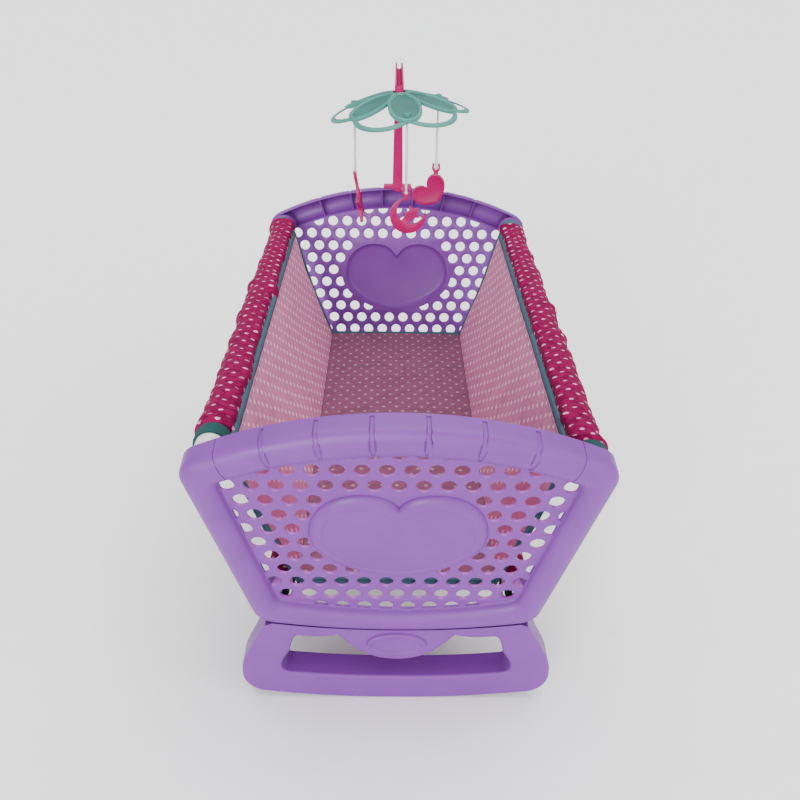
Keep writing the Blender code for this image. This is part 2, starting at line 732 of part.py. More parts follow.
def floor_arc(x):
    """Height of the rocking arc, with its short flat at the middle."""
    past = max(abs(x) - ROCKER_FLAT / 2, 0)
    return ROCKER_RADIUS - sqrt(ROCKER_RADIUS ** 2 - past ** 2)


def rocker_outline(y):
    """The rocker's outline (x, z) at a depth y."""
    top_steps = 4
    half = []
    for k in range(top_steps + 1):
        x = ROCKER_TOP_HALF_WIDTH * k / top_steps
        half.append(flat(x, rocker_top(x, y)))
    corner_x = ROCKER_HALF_WIDTH - ROCKER_CORNER
    corner_z = floor_arc(corner_x) + ROCKER_CORNER
    shoulder_x = ROCKER_HALF_WIDTH - ROCKER_CORNER / 2
    half += bezier(flat(shoulder_x, ROCKER_SHOULDER),
                   flat(ROCKER_HALF_WIDTH, ROCKER_SHOULDER - ROCKER_CORNER),
                   flat(ROCKER_HALF_WIDTH, corner_z + ROCKER_CORNER / 2),
                   flat(ROCKER_HALF_WIDTH, corner_z), 3)
    half += arc(flat(corner_x, corner_z), ROCKER_CORNER, 0, -pi / 2, 4)
    arc_steps = 5
    for k in range(arc_steps + 1):
        x = corner_x + (ROCKER_FLAT / 2 - corner_x) * k / arc_steps
        half.append(flat(x, floor_arc(x)))
    half.append(flat(0, 0))
    return mirrored(half)


def slot_outline():
    """The slot: arced floor, slanted ends, waved top, with a round lobe hanging into it."""
    lobe_edge = flat(LOBE_HALF_WIDTH, SLOT_TOP + SLOT_WAVE)
    half = bezier(flat(0, LOBE_BOTTOM), flat(LOBE_HALF_WIDTH / 2, LOBE_BOTTOM),
                  flat(LOBE_HALF_WIDTH * 3 / 4, LOBE_BOTTOM + (SLOT_TOP - LOBE_BOTTOM) / 2), lobe_edge, 5)
    end_top = flat(SLOT_TOP_HALF_WIDTH - SLOT_CORNER, SLOT_TOP)
    half += bezier(lobe_edge, lobe_edge.lerp(end_top, 1 / 3) - flat(0, SLOT_WAVE * 2),
                   lobe_edge.lerp(end_top, 2 / 3) - flat(0, SLOT_WAVE), end_top, 4)
    half += bezier(end_top, end_top + flat(SLOT_CORNER / 2, 0),
                   flat(SLOT_TOP_HALF_WIDTH - SLOT_CORNER / 4, SLOT_TOP - SLOT_CORNER / 2),
                   flat(SLOT_TOP_HALF_WIDTH, SLOT_TOP - SLOT_CORNER * 2), 3)
    bar_end = ROCKER_BAR + floor_arc(SLOT_HALF_WIDTH)
    floor_end = SLOT_HALF_WIDTH - SLOT_CORNER
    half += bezier(flat(SLOT_TOP_HALF_WIDTH, SLOT_TOP - SLOT_CORNER * 2),
                   flat(SLOT_HALF_WIDTH, bar_end + SLOT_CORNER), flat(SLOT_HALF_WIDTH, bar_end),
                   flat(floor_end, ROCKER_BAR + floor_arc(floor_end)), 4)
    floor_steps = 4
    for k in range(floor_steps + 1):
        x = floor_end * (1 - k / floor_steps)
        half.append(flat(x, ROCKER_BAR + floor_arc(x)))
    return mirrored(half)


def rocker_slice(name, outline_at, front, back):
    return lofted(name, [[Vector((p.x, y, p.y)) for p in outline_at(y)] for y in (front, back)])


def rocker_mesh():
    front = rocker_front()
    back = front + ROCKER_DEPTH
    slot = slot_outline()
    floor_front = front + ROCKER_WALL
    past = back + OVERRUN
    body = rocker_slice("rocker", rocker_outline, front, back)
    pocket = rocker_slice("pocket", lambda y: inset(rocker_outline(y), ROCKER_WALL), floor_front, past)
    island = rocker_slice("island", lambda y: inset(slot, -ROCKER_WALL), front, past + OVERRUN)
    pocket = shaped("pocket", pocket, [("DIFFERENCE", island)])
    hole = rocker_slice("slot", lambda y: slot, front - OVERRUN, past)
    badge = [flat(BADGE_HALF_WIDTH * cos(2 * pi * k / ROUND_SIDES),
                  BADGE_HEIGHT + BADGE_HALF_HEIGHT * sin(2 * pi * k / ROUND_SIDES))
             for k in range(ROUND_SIDES)]
    boss = lofted("badge", [[Vector((p.x, y, p.y)) for p in inset(badge, edge)]
                            for y, edge in ((front + SINK, 0), (front - BADGE_PROUD / 2, 0),
                                            (front - BADGE_PROUD, BADGE_PROUD / 2))])
    steps = [("DIFFERENCE", pocket), ("DIFFERENCE", hole), ("UNION", boss)]
    screw_holes = [moved_mesh(panel_bar("screw_hole", across, -RAIL_DEPTH / 2, height - ROCKER_WALL * 2,
                                        height + OVERRUN, SCREW_HOLE / 2), FOOTBOARD_PLACE.copy())
                   for across, height in rocker_screw_bases()]
    steps.append(("DIFFERENCE", joined("rocker_screw_holes", screw_holes)))
    return shaped("rocker", body, steps)


def make_rockers():
    mesh = rocker_mesh()
    add_object("footboard_rocker", mesh, "lilac plastic")
    add_object("headboard_rocker", mesh, "lilac plastic", HALF_TURN)


# Screws

def screw_mesh(length):
    """Pan head down, shank up, from the face that the head seats on at height zero."""
    head = SCREW_HEAD / 2
    shank = SCREW_SHANK / 2
    profile = [(head * 0.6, -SCREW_HEAD_HEIGHT), (head, -SCREW_HEAD_HEIGHT / 2), (head, 0), (shank, 0),
               (shank, length - SCREW_POINT), (shank / 3, length)]
    return lofted("screw", [[Vector((p.x, p.y, z)) for p in inner_circle(flat(0, 0), radius, FEW_SIDES)]
                            for radius, z in profile])


def make_screws():
    short = screw_mesh(TUBE_SCREW_LENGTH)
    for name, middle, radius, half in tube_places():
        seat = middle.y - collar_radius(radius) - GAP
        for end, sign in (("foot", -1), ("head", 1)):
            place = Matrix.Translation((middle.x, sign * (half - TUBE_SCREW_INSET), seat))
            add_object(f"{name}_{end}_tube_screw", short, "steel", place)
    long = screw_mesh(ROCKER_SCREW_LENGTH)
    sides = ("left", "middle", "right")
    for side, turned_side, (across, height) in zip(sides, reversed(sides), rocker_screw_bases()):
        seat = height - (GAP * 2 + ROCKER_WALL) / cos(PANEL_LEAN)
        place = FOOTBOARD_PLACE @ Matrix.Translation((across, RAIL_DEPTH / 2, seat))
        add_object(f"{side}_foot_rocker_screw", long, "steel", place)
        add_object(f"{turned_side}_head_rocker_screw", long, "steel", HALF_TURN @ place)


# Tubes

def ring_bar(name, centre, outer, inner, low, high, sides=ROUND_SIDES):
    """A straight pipe along Y round a centre (x, z)."""
    def ring(radius, y):
        return [Vector((p.x, y, p.y)) for p in inner_circle(centre, radius, sides)]
    return lofted(name, [ring(outer, low), ring(outer, high), ring(inner, high), ring(inner, low)],
                  round_trip=True)


def make_tubes():
    for name, middle, radius, half in tube_places():
        pipe = ring_bar(name, middle, radius, radius - TUBE_WALL, -half, half)
        holes = [upright_bar("hole", middle.x, sign * (half - TUBE_SCREW_INSET),
                             middle.y - radius - OVERRUN, middle.y, SCREW_HOLE / 2) for sign in (-1, 1)]
        mesh = shaped(name, pipe, [("DIFFERENCE", joined("holes", holes))])
        add_object(f"{name}_tube", mesh, "white tube")


# Cloth sling

def wall_line():
    """Top and bottom of the line that touches both sleeves on their inner sides, and its normal."""
    top = upper_tube_centre()
    low = lower_tube_centre()
    top_reach = sleeve_radius(UPPER_RADIUS) + GAP
    low_reach = sleeve_radius(LOWER_RADIUS) + GAP
    along = (top - low).normalized()
    lean = -asin((top_reach - low_reach) / (top - low).length)
    normal = flat(-along.y, along.x) * cos(lean) + along * sin(lean)
    hem = flat(normal.y, -normal.x) * WALL_HEM
    return top + normal * top_reach, low + normal * low_reach - hem, normal


def wall_strip(name, from_share, to_share, thickness, low_y, high_y, bow=0, steps=1):
    """A piece of the right wall between two shares of its height, from the floor up."""
    top, bottom, normal = wall_line()
    outline = []
    for k in range(steps + 1):
        share = from_share + (to_share - from_share) * k / steps
        outline.append(bottom.lerp(top, share) + normal * bow * sin(pi * share) ** 2)
    for k in range(steps, -1, -1):
        share = from_share + (to_share - from_share) * k / steps
        outline.append(bottom.lerp(top, share) + normal * (thickness + bow * sin(pi * share) ** 2))
    return lofted(name, [[Vector((p.x, y, p.y)) for p in outline] for y in (low_y, high_y)])


def make_walls():
    top, bottom, normal = wall_line()
    height = (top - bottom).length
    half = WALL_LENGTH / 2
    piping_share = 1 - (PIPING_HEIGHT + GAP) / height
    end = half + GAP + BINDING_WIDTH
    pieces = (("wall", "pale pink cloth", 0, piping_share, WALL_THICKNESS, -half, half, 6),
              ("wall_piping", "blue green binding", 1 - PIPING_HEIGHT / height, 1, BINDING_THICKNESS,
               -half, half, 1),
              ("foot_wall_binding", "blue green binding", 0, 1, BINDING_THICKNESS, -end, -half - GAP, 6),
              ("head_wall_binding", "blue green binding", 0, 1, BINDING_THICKNESS, half + GAP, end, 6))
    for name, finish, low, high, thickness, near, far, steps in pieces:
        mesh = wall_strip(name, low, high, thickness, near, far, -WALL_BOW if steps > 1 else 0, steps)
        add_object(f"right_{name}", mesh, finish)
        mirror = mesh.copy()
        mirror.transform(Matrix.Scale(-1, 4, (1, 0, 0)))
        mirror.flip_normals()
        add_object(f"left_{name}", mirror, finish)


def make_sleeves():
    for name, middle, radius, tube_half in tube_places():
        side = name.split("_")[0]
        upper = radius == UPPER_RADIUS
        shift = 0
        half = LOWER_SLEEVE_LENGTH / 2
        if upper:
            shift = LEFT_SLEEVE_SHIFT if middle.x < 0 else RIGHT_SLEEVE_SHIFT
            half = SLEEVE_LENGTH / 2
        inner = radius + GAP
        sleeve = ring_bar("sleeve", middle, sleeve_radius(radius), inner, shift - half, shift + half)
        add_object(f"{name}_sleeve", sleeve, "hot pink cloth")
        for end, direction in (("foot", -1), ("head", 1)) if upper else ():
            near = shift + direction * (half + GAP)
            far = near + direction * CUFF_LENGTH
            cuff = ring_bar("cuff", middle, sleeve_radius(radius) + CUFF_PROUD, inner, min(near, far),
                            max(near, far))
            add_object(f"{side}_{end}_cuff", cuff, "blue green binding")


def floor_half_width(z):
    """Half the width between the walls at a height, less a gap."""
    top, bottom, normal = wall_line()
    low = bottom + normal * (BINDING_THICKNESS + GAP)
    high = top + normal * (BINDING_THICKNESS + GAP)
    return low.lerp(high, (z - low.y) / (high.y - low.y)).x


def make_floor():
    half = WALL_LENGTH / 2
    lining_low = FLOOR_TOP - FLOOR_PAD
    board_low = lining_low - GAP - BASE_BOARD
    cover_low = board_low - GAP - FLOOR_COVER

    def slab(name, low, high, near, far, finish, crown=0, across=1):
        low_edge = floor_half_width(low)
        high_edge = floor_half_width(high)
        outline = [flat(-low_edge, low), flat(low_edge, low)]
        outline += [flat(high_edge - 2 * high_edge * k / across, high + crown * (sin(pi * k / across) - 1))
                    for k in range(across + 1)]
        mesh = lofted(name, [[Vector((p.x, y, p.y)) for p in outline] for y in (near, far)])
        return add_object(name, mesh, finish, smooth=False)

    slab("floor_lining", lining_low, FLOOR_TOP, -half, half, "pale pink cloth", FLOOR_CROWN, 6)
    slab("base_board", board_low, board_low + BASE_BOARD, -half, half, "grey board")
    slab("floor_cover", cover_low, cover_low + FLOOR_COVER, -half, half, "hot pink cloth")
    end = half + GAP + BINDING_WIDTH
    slab("foot_floor_binding", cover_low, FLOOR_TOP - FLOOR_CROWN, -end, -half - GAP, "blue green binding")
    slab("head_floor_binding", cover_low, FLOOR_TOP - FLOOR_CROWN, half + GAP, end, "blue green binding")


# Mobile: arm with its clip, and the pin of the flower

def clip_mesh():
    """A saddle over the headboard's top rail, in the footboard's frame before its half turn."""
    top = PANEL_RISE + GAP
    outer = RAIL_CROWN + GAP
    inner = -RAIL_DEPTH - GAP
    section = [flat(outer, top), flat(outer, top - CLIP_LEG), flat(outer + CLIP_WALL, top - CLIP_LEG),
               flat(outer + CLIP_WALL, top + CLIP_WALL / 2), flat(outer + CLIP_WALL / 2, top + CLIP_WALL),
               flat(inner - CLIP_WALL, top + CLIP_WALL), flat(inner - CLIP_WALL, top - CLIP_LIP),
               flat(inner, top - CLIP_LIP), flat(inner, top)]
    near = inner - CLIP_WALL * 3 / 4
    far = inner - GAP
    tongue = [flat(near, top + CLIP_WALL / 2), flat(near, top - CLIP_TONGUE), flat(far, top - CLIP_TONGUE),
              flat(far, top + CLIP_WALL / 2)]
    half = CLIP_WIDTH / 2
    slim = ARM_FOOT_WIDTH / 2 - ARM_WEB / 2
    mesh = lofted("clip", [[Vector((x, -p.x, p.y)) for p in section] for x in (-half, half)])
    tongue = lofted("tongue", [[Vector((x, -p.x, p.y)) for p in tongue] for x in (-slim, slim)])
    mesh = shaped("clip", mesh, [("UNION", tongue)])
    return moved_mesh(mesh, HALF_TURN @ FOOTBOARD_PLACE)


def arm_foot():
    """World Y and Z of the foot of the arm, on the clip over the rail's inner flange."""
    depth = -RAIL_DEPTH - GAP - CLIP_WALL
    height = PANEL_RISE + GAP + CLIP_WALL
    spot = HALF_TURN @ FOOTBOARD_PLACE @ Vector((0, -depth, height))
    return spot.y, spot.z


def hub_place():
    """The flower's own frame: its origin on top of the hub, its Z on the pin."""
    return Matrix.Translation((0, HUB_Y, HUB_TOP)) @ Matrix.Rotation(HUB_TILT, 4, "Y")


def arm_mesh():
    """A tapered channel that rises from the clip, bends forward and ends over the flower's hub."""
    foot_y, foot_z = arm_foot()
    depth = ARM_WEB + ARM_CHANNEL
    tip_height = HUB_TOP + GAP + HUB_BOSS_HEIGHT / 4
    slope = atan2(ARM_TOP - tip_height, foot_y - HUB_Y)
    bend_steps = 5
    # Stations: inner corner of the channel, direction away from the flower's side, width
    stations = [(flat(foot_y, foot_z - CLIP_WALL / 2), -PANEL_LEAN, ARM_FOOT_WIDTH),
                (flat(foot_y, ARM_TOP - ARM_BEND), 0.0, ARM_BEND_WIDTH)]
    centre = flat(foot_y - ARM_BEND, ARM_TOP - ARM_BEND)
    for k in range(1, bend_steps + 1):
        angle = (pi / 2 + slope) * k / bend_steps
        stations.append((centre + ARM_BEND * flat(cos(angle), sin(angle)), angle, ARM_BEND_WIDTH))
    last = stations[-1][0]
    run = last.x - HUB_Y + HUB_BOSS_DIAMETER / 4
    stations.append((last - flat(cos(slope), sin(slope)) * run / cos(slope), pi / 2 + slope, ARM_TIP_WIDTH))
    rings = []
    for spot, angle, width in stations:
        out = flat(cos(angle), sin(angle))
        half = width / 2
        inner = half - ARM_WEB
        ring = []
        for x, away in ((-half, 0), (half, 0), (half, depth), (inner, depth), (inner, ARM_WEB),
                        (-inner, ARM_WEB), (-inner, depth), (-half, depth)):
            place = spot + out * away
            ring.append(Vector((x, place.x, place.y)))
        rings.append(ring)
    channel = lofted("arm", rings)
    top = GAP + HUB_BOSS_HEIGHT
    boss = lofted("boss", [[Vector((p.x, p.y, z)) for p in inner_circle(flat(0, 0), HUB_BOSS_DIAMETER / 2)]
                           for z in (GAP, top)])
    hole = upright_bar("pin_hole", 0, 0, -OVERRUN, top + OVERRUN, PIN_DIAMETER / 2 + PIN_FIT)
    return shaped("arm", channel, [("UNION", clip_mesh()), ("UNION", moved_mesh(boss, hub_place())),
                                   ("DIFFERENCE", moved_mesh(hole, hub_place()))])


def make_arm():
    add_object("mobile_arm", arm_mesh(), "hot pink plastic")
    head_low = -HUB_THICKNESS - GAP - PIN_HEAD_HEIGHT
    profile = [(PIN_HEAD / 3, head_low), (PIN_HEAD / 2, head_low + PIN_HEAD_HEIGHT / 2),
               (PIN_HEAD / 2, head_low + PIN_HEAD_HEIGHT), (PIN_DIAMETER / 2, head_low + PIN_HEAD_HEIGHT),
               (PIN_DIAMETER / 2, HUB_BOSS_HEIGHT - GAP)]
    mesh = lofted("pin", [[Vector((p.x, p.y, z)) for p in inner_circle(flat(0, 0), radius, ROUND_SIDES)]
                          for radius, z in profile])
    add_object("hub_pin", mesh, "sea green plastic", hub_place())


# Mobile: flower, in its own frame

def droop(radius):
    """Height of the flower's dome under its hub, at a distance from its axis."""
    return -FLOWER_DROOP * (radius / FLOWER_REACH) ** FLOWER_DROOP_POWER


def on_dome(spot, height):
    return Vector((spot.x, spot.y, droop(spot.length) + height))


def petal_angle(number):
    return FLOWER_TURN + 2 * pi * number / PETAL_COUNT


def loop_mesh(number):
    """A flat bar from the tip of one petal out and round to the tip of the next."""
    first = petal_angle(number)
    second = petal_angle(number + 1)
    start = flat(cos(first), sin(first)) * LOOP_START
    end = flat(cos(second), sin(second)) * LOOP_START
    # The handles are as long as brings the outer edge to the flower's reach
    half = pi / PETAL_COUNT
    bulge = FLOWER_REACH - LOOP_BAR / 2 - LOOP_START * cos(half)
    reach = bulge * 4 / 3 / cos(LOOP_LEAN - half)
    line = bezier(start, start + reach * flat(cos(first + LOOP_LEAN), sin(first + LOOP_LEAN)),
                  end + reach * flat(cos(second - LOOP_LEAN), sin(second - LOOP_LEAN)), end, LOOP_STEPS)
    line.append(end)
    rings = []
    for k, spot in enumerate(line):
        before = line[max(k - 1, 0)]
        after = line[min(k + 1, LOOP_STEPS)]
        along = (after - before).normalized()
        side = flat(-along.y, along.x) * LOOP_BAR / 2
        low = -PETAL_STEP - LOOP_THICKNESS / 2
        high = low + LOOP_THICKNESS
        rings.append([on_dome(spot - side, low), on_dome(spot + side, low),
                      on_dome(spot + side, high), on_dome(spot - side, high)])
    return lofted("loop", rings)


def petal_mesh(number):
    """A solid petal, dished inside a raised rim."""
    angle = petal_angle(number)
    along = flat(cos(angle), sin(angle))
    across = flat(-along.y, along.x)
    middle = (PETAL_START + PETAL_REACH) / 2
    reach = (PETAL_REACH - PETAL_START) / 2
    step = PETAL_STEP * (number % 2)

    def ring(inward, height):
        points = []
        for k in range(PETAL_STEPS):
            t = 2 * pi * k / PETAL_STEPS
            swell = 1 + PETAL_SWELL_SHARE * cos(t)
            spot = (along * (middle + (reach - inward) * cos(t))
                    + across * (PETAL_HALF_WIDTH - inward) * sin(t) * swell)
            points.append(on_dome(spot, height - step))
        return points
    low = -PETAL_THICKNESS / 2
    floor_height = PETAL_THICKNESS / 2
    rim = low + PETAL_THICKNESS + PETAL_RIM_HEIGHT
    return lofted("petal", [ring(PETAL_HALF_WIDTH / 2, low), ring(0, low), ring(0, rim),
                            ring(PETAL_RIM, rim), ring(PETAL_RIM + PETAL_RIM_HEIGHT, floor_height),
                            ring(PETAL_HALF_WIDTH / 2, floor_height)])


def charm_angles():
    """Direction of every other petal, which carries a string: front, right and left."""
    return [petal_angle(k * PETAL_COUNT // STRING_COUNT) for k in range(STRING_COUNT)]


def string_top(angle):
    """Where a string leaves the underside of its petal, in world space."""
    height = droop(NUB_RADIUS) - PETAL_THICKNESS / 2 - STRING_SLACK
    return hub_place() @ Vector((NUB_RADIUS * cos(angle), NUB_RADIUS * sin(angle), height))


def flower_mesh():
    rim = HUB_DIAMETER / 2
    profile = ((rim, -HUB_THICKNESS), (rim, -HUB_THICKNESS / 4), (rim - HUB_THICKNESS / 2, 0))
    hub = lofted("hub", [[Vector((p.x, p.y, z)) for p in inner_circle(flat(0, 0), radius)]
                         for radius, z in profile])
    steps = []
    for number in range(PETAL_COUNT):
        steps.append(("UNION", petal_mesh(number)))
    for number in range(PETAL_COUNT):
        steps.append(("UNION", loop_mesh(number)))
    for angle in charm_angles():
        spot = flat(NUB_RADIUS * cos(angle), NUB_RADIUS * sin(angle))
        floor_height = droop(NUB_RADIUS) + PETAL_THICKNESS / 2
        steps.append(("UNION", upright_bar("nub", spot.x, spot.y, floor_height - PETAL_THICKNESS * 3 / 4,
                                           floor_height + NUB_HEIGHT, NUB_DIAMETER / 2)))
        steps.append(("DIFFERENCE", upright_bar("bore", spot.x, spot.y, floor_height - PETAL_THICKNESS * 3,
                                                floor_height + NUB_HEIGHT + OVERRUN,
                                                STRING_DIAMETER / 2 + GAP)))
    steps.append(("DIFFERENCE", upright_bar("crown", 0, 0, 0, HUB_THICKNESS + OVERRUN,
                                            HUB_BOSS_DIAMETER / 2 + OVERRUN)))
    steps.append(("DIFFERENCE", upright_bar("seat", 0, 0, -HUB_THICKNESS * 2, -HUB_THICKNESS,
                                            PIN_HEAD / 2 + OVERRUN)))
    steps.append(("DIFFERENCE", upright_bar("pin_bore", 0, 0, -HUB_THICKNESS * 2, HUB_THICKNESS,
                                            PIN_DIAMETER / 2 + PIN_FIT)))
    return shaped("flower", hub, steps)


def make_flower():
    add_object("flower", flower_mesh(), "sea green plastic", hub_place())


# Mobile: strings and charms

def charm_parts():
    """Name, petal direction, string length, turn about the string and lean of each charm."""
    front, right, left = charm_angles()
    return (("star", left, STAR_STRING, STAR_TURN, STAR_LEAN),
            ("moon", front, MOON_STRING, MOON_TURN, 0.0),
            ("heart", right, HEART_STRING, HEART_TURN, 0.0))


def make_strings():
    for name, angle, length, turn, lean in charm_parts():
        top = string_top(angle)
        end = length + EYE_BORE / 2 - GAP
        steps = 8
        line = bpy.data.curves.new(f"{name}_string", "CURVE")
        line.dimensions = "3D"
        line.bevel_depth = STRING_DIAMETER / 2
        line.bevel_resolution = 2
        line.use_fill_caps = True
        spline = line.splines.new("POLY")
        spline.points.add(steps)
        for k, point in enumerate(spline.points):
            point.co = (0, 0, -end * k / steps, 1)
        string = bpy.data.objects.new(f"{name}_string", line)
        bpy.context.scene.collection.objects.link(string)
        string.location = top
        line.materials.append(finish_for("white string"))


def charm_point(point, depth):
    return Vector((point.x, depth, point.y))


def plate(name, outline, thickness=CHARM_THICKNESS):
    return prism(name, outline, -thickness / 2, thickness / 2, charm_point)


def star_outline(centre, radius, turn=0.0):
    points = []
    for k in range(10):
        reach = radius if k % 2 == 0 else radius * STAR_WAIST_SHARE
        angle = pi / 2 + turn + pi * k / 5
        points.append(centre + reach * flat(cos(angle), sin(angle)))
    return points


def eye_steps():
    """The open ring that a charm hangs from; the string drops through its slot to its middle."""
    ring = circle(flat(0, 0), EYE_DIAMETER / 2)
    stem_half = EYE_BORE / 2
    low = -EYE_DIAMETER / 2 - EYE_STEM - GAP * 4
    stem = [flat(-stem_half, low), flat(stem_half, low), flat(stem_half, -stem_half),
            flat(-stem_half, -stem_half)]
    slot_half = EYE_SLOT / 2
    slot = [flat(-slot_half, 0), flat(slot_half, 0), flat(slot_half, EYE_DIAMETER),
            flat(-slot_half, EYE_DIAMETER)]
    deep = CHARM_THICKNESS + OVERRUN
    return [("UNION", plate("stem", stem, CHARM_THICKNESS - GAP * 2)),
            ("UNION", plate("eye", ring, CHARM_THICKNESS - GAP)),
            ("DIFFERENCE", plate("eye_bore", circle(flat(0, 0), EYE_BORE / 2), deep)),
            ("DIFFERENCE", plate("eye_slot", slot, deep))]


def star_mesh():
    drop = EYE_DIAMETER / 2 + EYE_STEM - GAP * 2 + STAR_RADIUS
    return shaped("star", plate("star", star_outline(flat(0, -drop), STAR_RADIUS)), eye_steps())


def moon_mesh():
    centre = flat(MOON_RADIUS / 8, -EYE_DIAMETER / 2 - EYE_STEM / 2 - MOON_RADIUS)
    disc = plate("moon", circle(centre, MOON_RADIUS, 24))
    bite_centre = centre + MOON_RADIUS * (1 - MOON_BITE_SHARE) * 1.5 * flat(cos(pi / 3), sin(pi / 3))
    bite = plate("bite", circle(bite_centre, MOON_RADIUS * MOON_BITE_SHARE, 20), CHARM_THICKNESS + OVERRUN)
    star_centre = centre + flat(MOON_RADIUS / 4, MOON_RADIUS / 8)
    star = plate("small_star", star_outline(star_centre, MOON_STAR_RADIUS, pi / 9), CHARM_THICKNESS - GAP)
    bridge = plate("bridge", [centre + MOON_RADIUS * flat(x, y) for x, y in MOON_BRIDGE_SHARES],
                   CHARM_THICKNESS - GAP * 2)
    return shaped("moon", disc, [("DIFFERENCE", bite), ("UNION", bridge), ("UNION", star)] + eye_steps())


def heart_mesh():
    half = CHARM_HEART_HALF_WIDTH
    outline = heart_outline(half, 0, -CHARM_HEART_WIDEST, -CHARM_HEART_POINT, CHARM_HEART_LOBE_SHARES,
                            CHARM_HEART_TAPER_SHARES, HEART_STEPS)
    turned = [flat(p.x * cos(CHARM_HEART_HANG) - p.y * sin(CHARM_HEART_HANG),
                   p.x * sin(CHARM_HEART_HANG) + p.y * cos(CHARM_HEART_HANG)) for p in outline]
    top = max(turned, key=lambda p: p.y)
    seat = EYE_DIAMETER / 2 + EYE_STEM - GAP * 2
    hung = [p - top - flat(0, seat) for p in turned]
    return shaped("heart", plate("heart", hung), eye_steps())


def make_charms():
    makers = {"star": star_mesh, "moon": moon_mesh, "heart": heart_mesh}
    for name, angle, length, turn, lean in charm_parts():
        place = (Matrix.Translation(string_top(angle) - Vector((0, 0, length)))
                 @ Matrix.Rotation(turn, 4, "Z") @ Matrix.Rotation(lean, 4, "X"))
        add_object(f"{name}_charm", makers[name](), "hot pink plastic", place)


def centre_lengthwise():
    """Bring the middle of the whole length over the origin: the clip reaches past the headboard."""
    reach = [(piece.matrix_world @ vertex.co).y for piece in bpy.data.objects if piece.type == "MESH"
             and not piece.hide_render for vertex in piece.data.vertices]
    shift = Matrix.Translation((0, -(min(reach) + max(reach)) / 2, 0))
    for piece in bpy.data.objects:
        piece.matrix_world = shift @ piece.matrix_world


def main():
    clear_scene()
    make_panels()
    make_rockers()
    make_screws()
    make_tubes()
    make_walls()
    make_sleeves()
    make_floor()
    make_arm()
    make_flower()
    make_strings()
    make_charms()
    bpy.context.view_layer.update()
    centre_lengthwise()


main()
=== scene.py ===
"""Looks of the doll cradle, laid out as an add-on: one operator for each piece or group of like pieces."""
from math import atan2, cos, exp, pi, radians, sin, sqrt

import bmesh
import bpy
from bpy.props import FloatProperty, FloatVectorProperty, IntProperty, PointerProperty
from mathutils import Matrix, Vector, noise


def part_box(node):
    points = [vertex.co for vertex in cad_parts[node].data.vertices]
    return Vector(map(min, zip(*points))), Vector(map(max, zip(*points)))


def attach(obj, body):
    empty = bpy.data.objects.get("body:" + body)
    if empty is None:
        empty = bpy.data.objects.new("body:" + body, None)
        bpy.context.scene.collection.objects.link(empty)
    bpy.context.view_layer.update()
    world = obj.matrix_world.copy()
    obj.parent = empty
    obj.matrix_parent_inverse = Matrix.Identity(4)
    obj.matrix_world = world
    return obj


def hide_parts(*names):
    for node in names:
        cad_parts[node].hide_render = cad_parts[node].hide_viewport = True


bl_info = {
    "name": "Doll Cradle Looks",
    "version": (1, 0, 0),
    "blender": (4, 5, 0),
    "location": "3D View > Sidebar > Cradle",
    "description": "Moulded panels and rockers, sewn sling and hanging mobile of a doll cradle",
    "category": "Object",
}

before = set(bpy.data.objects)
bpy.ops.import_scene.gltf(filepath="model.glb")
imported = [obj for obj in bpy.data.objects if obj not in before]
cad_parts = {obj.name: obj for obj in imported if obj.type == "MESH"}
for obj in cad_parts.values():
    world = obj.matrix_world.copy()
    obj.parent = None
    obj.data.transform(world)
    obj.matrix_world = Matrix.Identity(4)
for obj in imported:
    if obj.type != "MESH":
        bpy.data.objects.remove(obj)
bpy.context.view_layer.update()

MM = 0.001
GAP = 0.3 * MM
OVERRUN = 2.0 * MM
FINE_ROUND = 0.4 * MM

# The moulded end panel, as the solids have it
PANEL_SPACING = 565.6 * MM
PANEL_LEAN = radians(10.0)
PANEL_RISE = 27.0 * MM
PANEL_DROP = 199.0 * MM
PANEL_HALF_WIDTH = 164.3 * MM
SIDE_SLANT = radians(14.3)
TOP_ARC_RADIUS = 351.0 * MM
BOTTOM_ARC_RADIUS = 594.0 * MM
TOP_CORNER_RADIUS = 16.5 * MM
BOTTOM_CORNER_RADIUS = 20.0 * MM
TOP_RAIL_WIDTH = 26.0 * MM
SIDE_RAIL_WIDTH = 23.7 * MM
BOTTOM_RAIL_WIDTH = 23.0 * MM
WEB_BOTTOM_RADIUS = 387.0 * MM
WEB_TOP_CORNER = 7.0 * MM
WEB_BOTTOM_CORNER = 9.0 * MM
RAIL_CROWN = 9.0 * MM
RAIL_DEPTH = 14.6 * MM
PANEL_WALL = 2.5 * MM
HOLE_PITCH = 18.0 * MM
HOLE_ROWS = 12
HOLE_COLUMNS = 9
HOLE_MARGIN = 0.6 * MM
HEART_MARGIN = 1.2 * MM
SMALLEST_HOLE_SHARE = 0.18
HEART_HALF_WIDTH = 69.0 * MM
HEART_NOTCH = 54.0 * MM
HEART_WIDEST = 84.0 * MM
HEART_POINT = 132.0 * MM
HEART_FLANK = 11.0 * MM
HEART_LOBE_SHARES = (0.145, 0.27, 1.0, 0.28)
HEART_TAPER_SHARES = (1.0, 0.58, 0.39, 0.98)
RIB_PLACES = (1.1 * HOLE_PITCH, 3.3 * HOLE_PITCH, 5.5 * HOLE_PITCH)
SEAM_PLACES = (7.5 * HOLE_PITCH,)
RIB_THICKNESS = 1.6 * MM
COLLAR_WALL = 2.2 * MM
DRILL_REACH = 4.1 * MM
DRILL_MIDDLE = 7.1 * MM
DRILL_DEPTH = 17.6 * MM

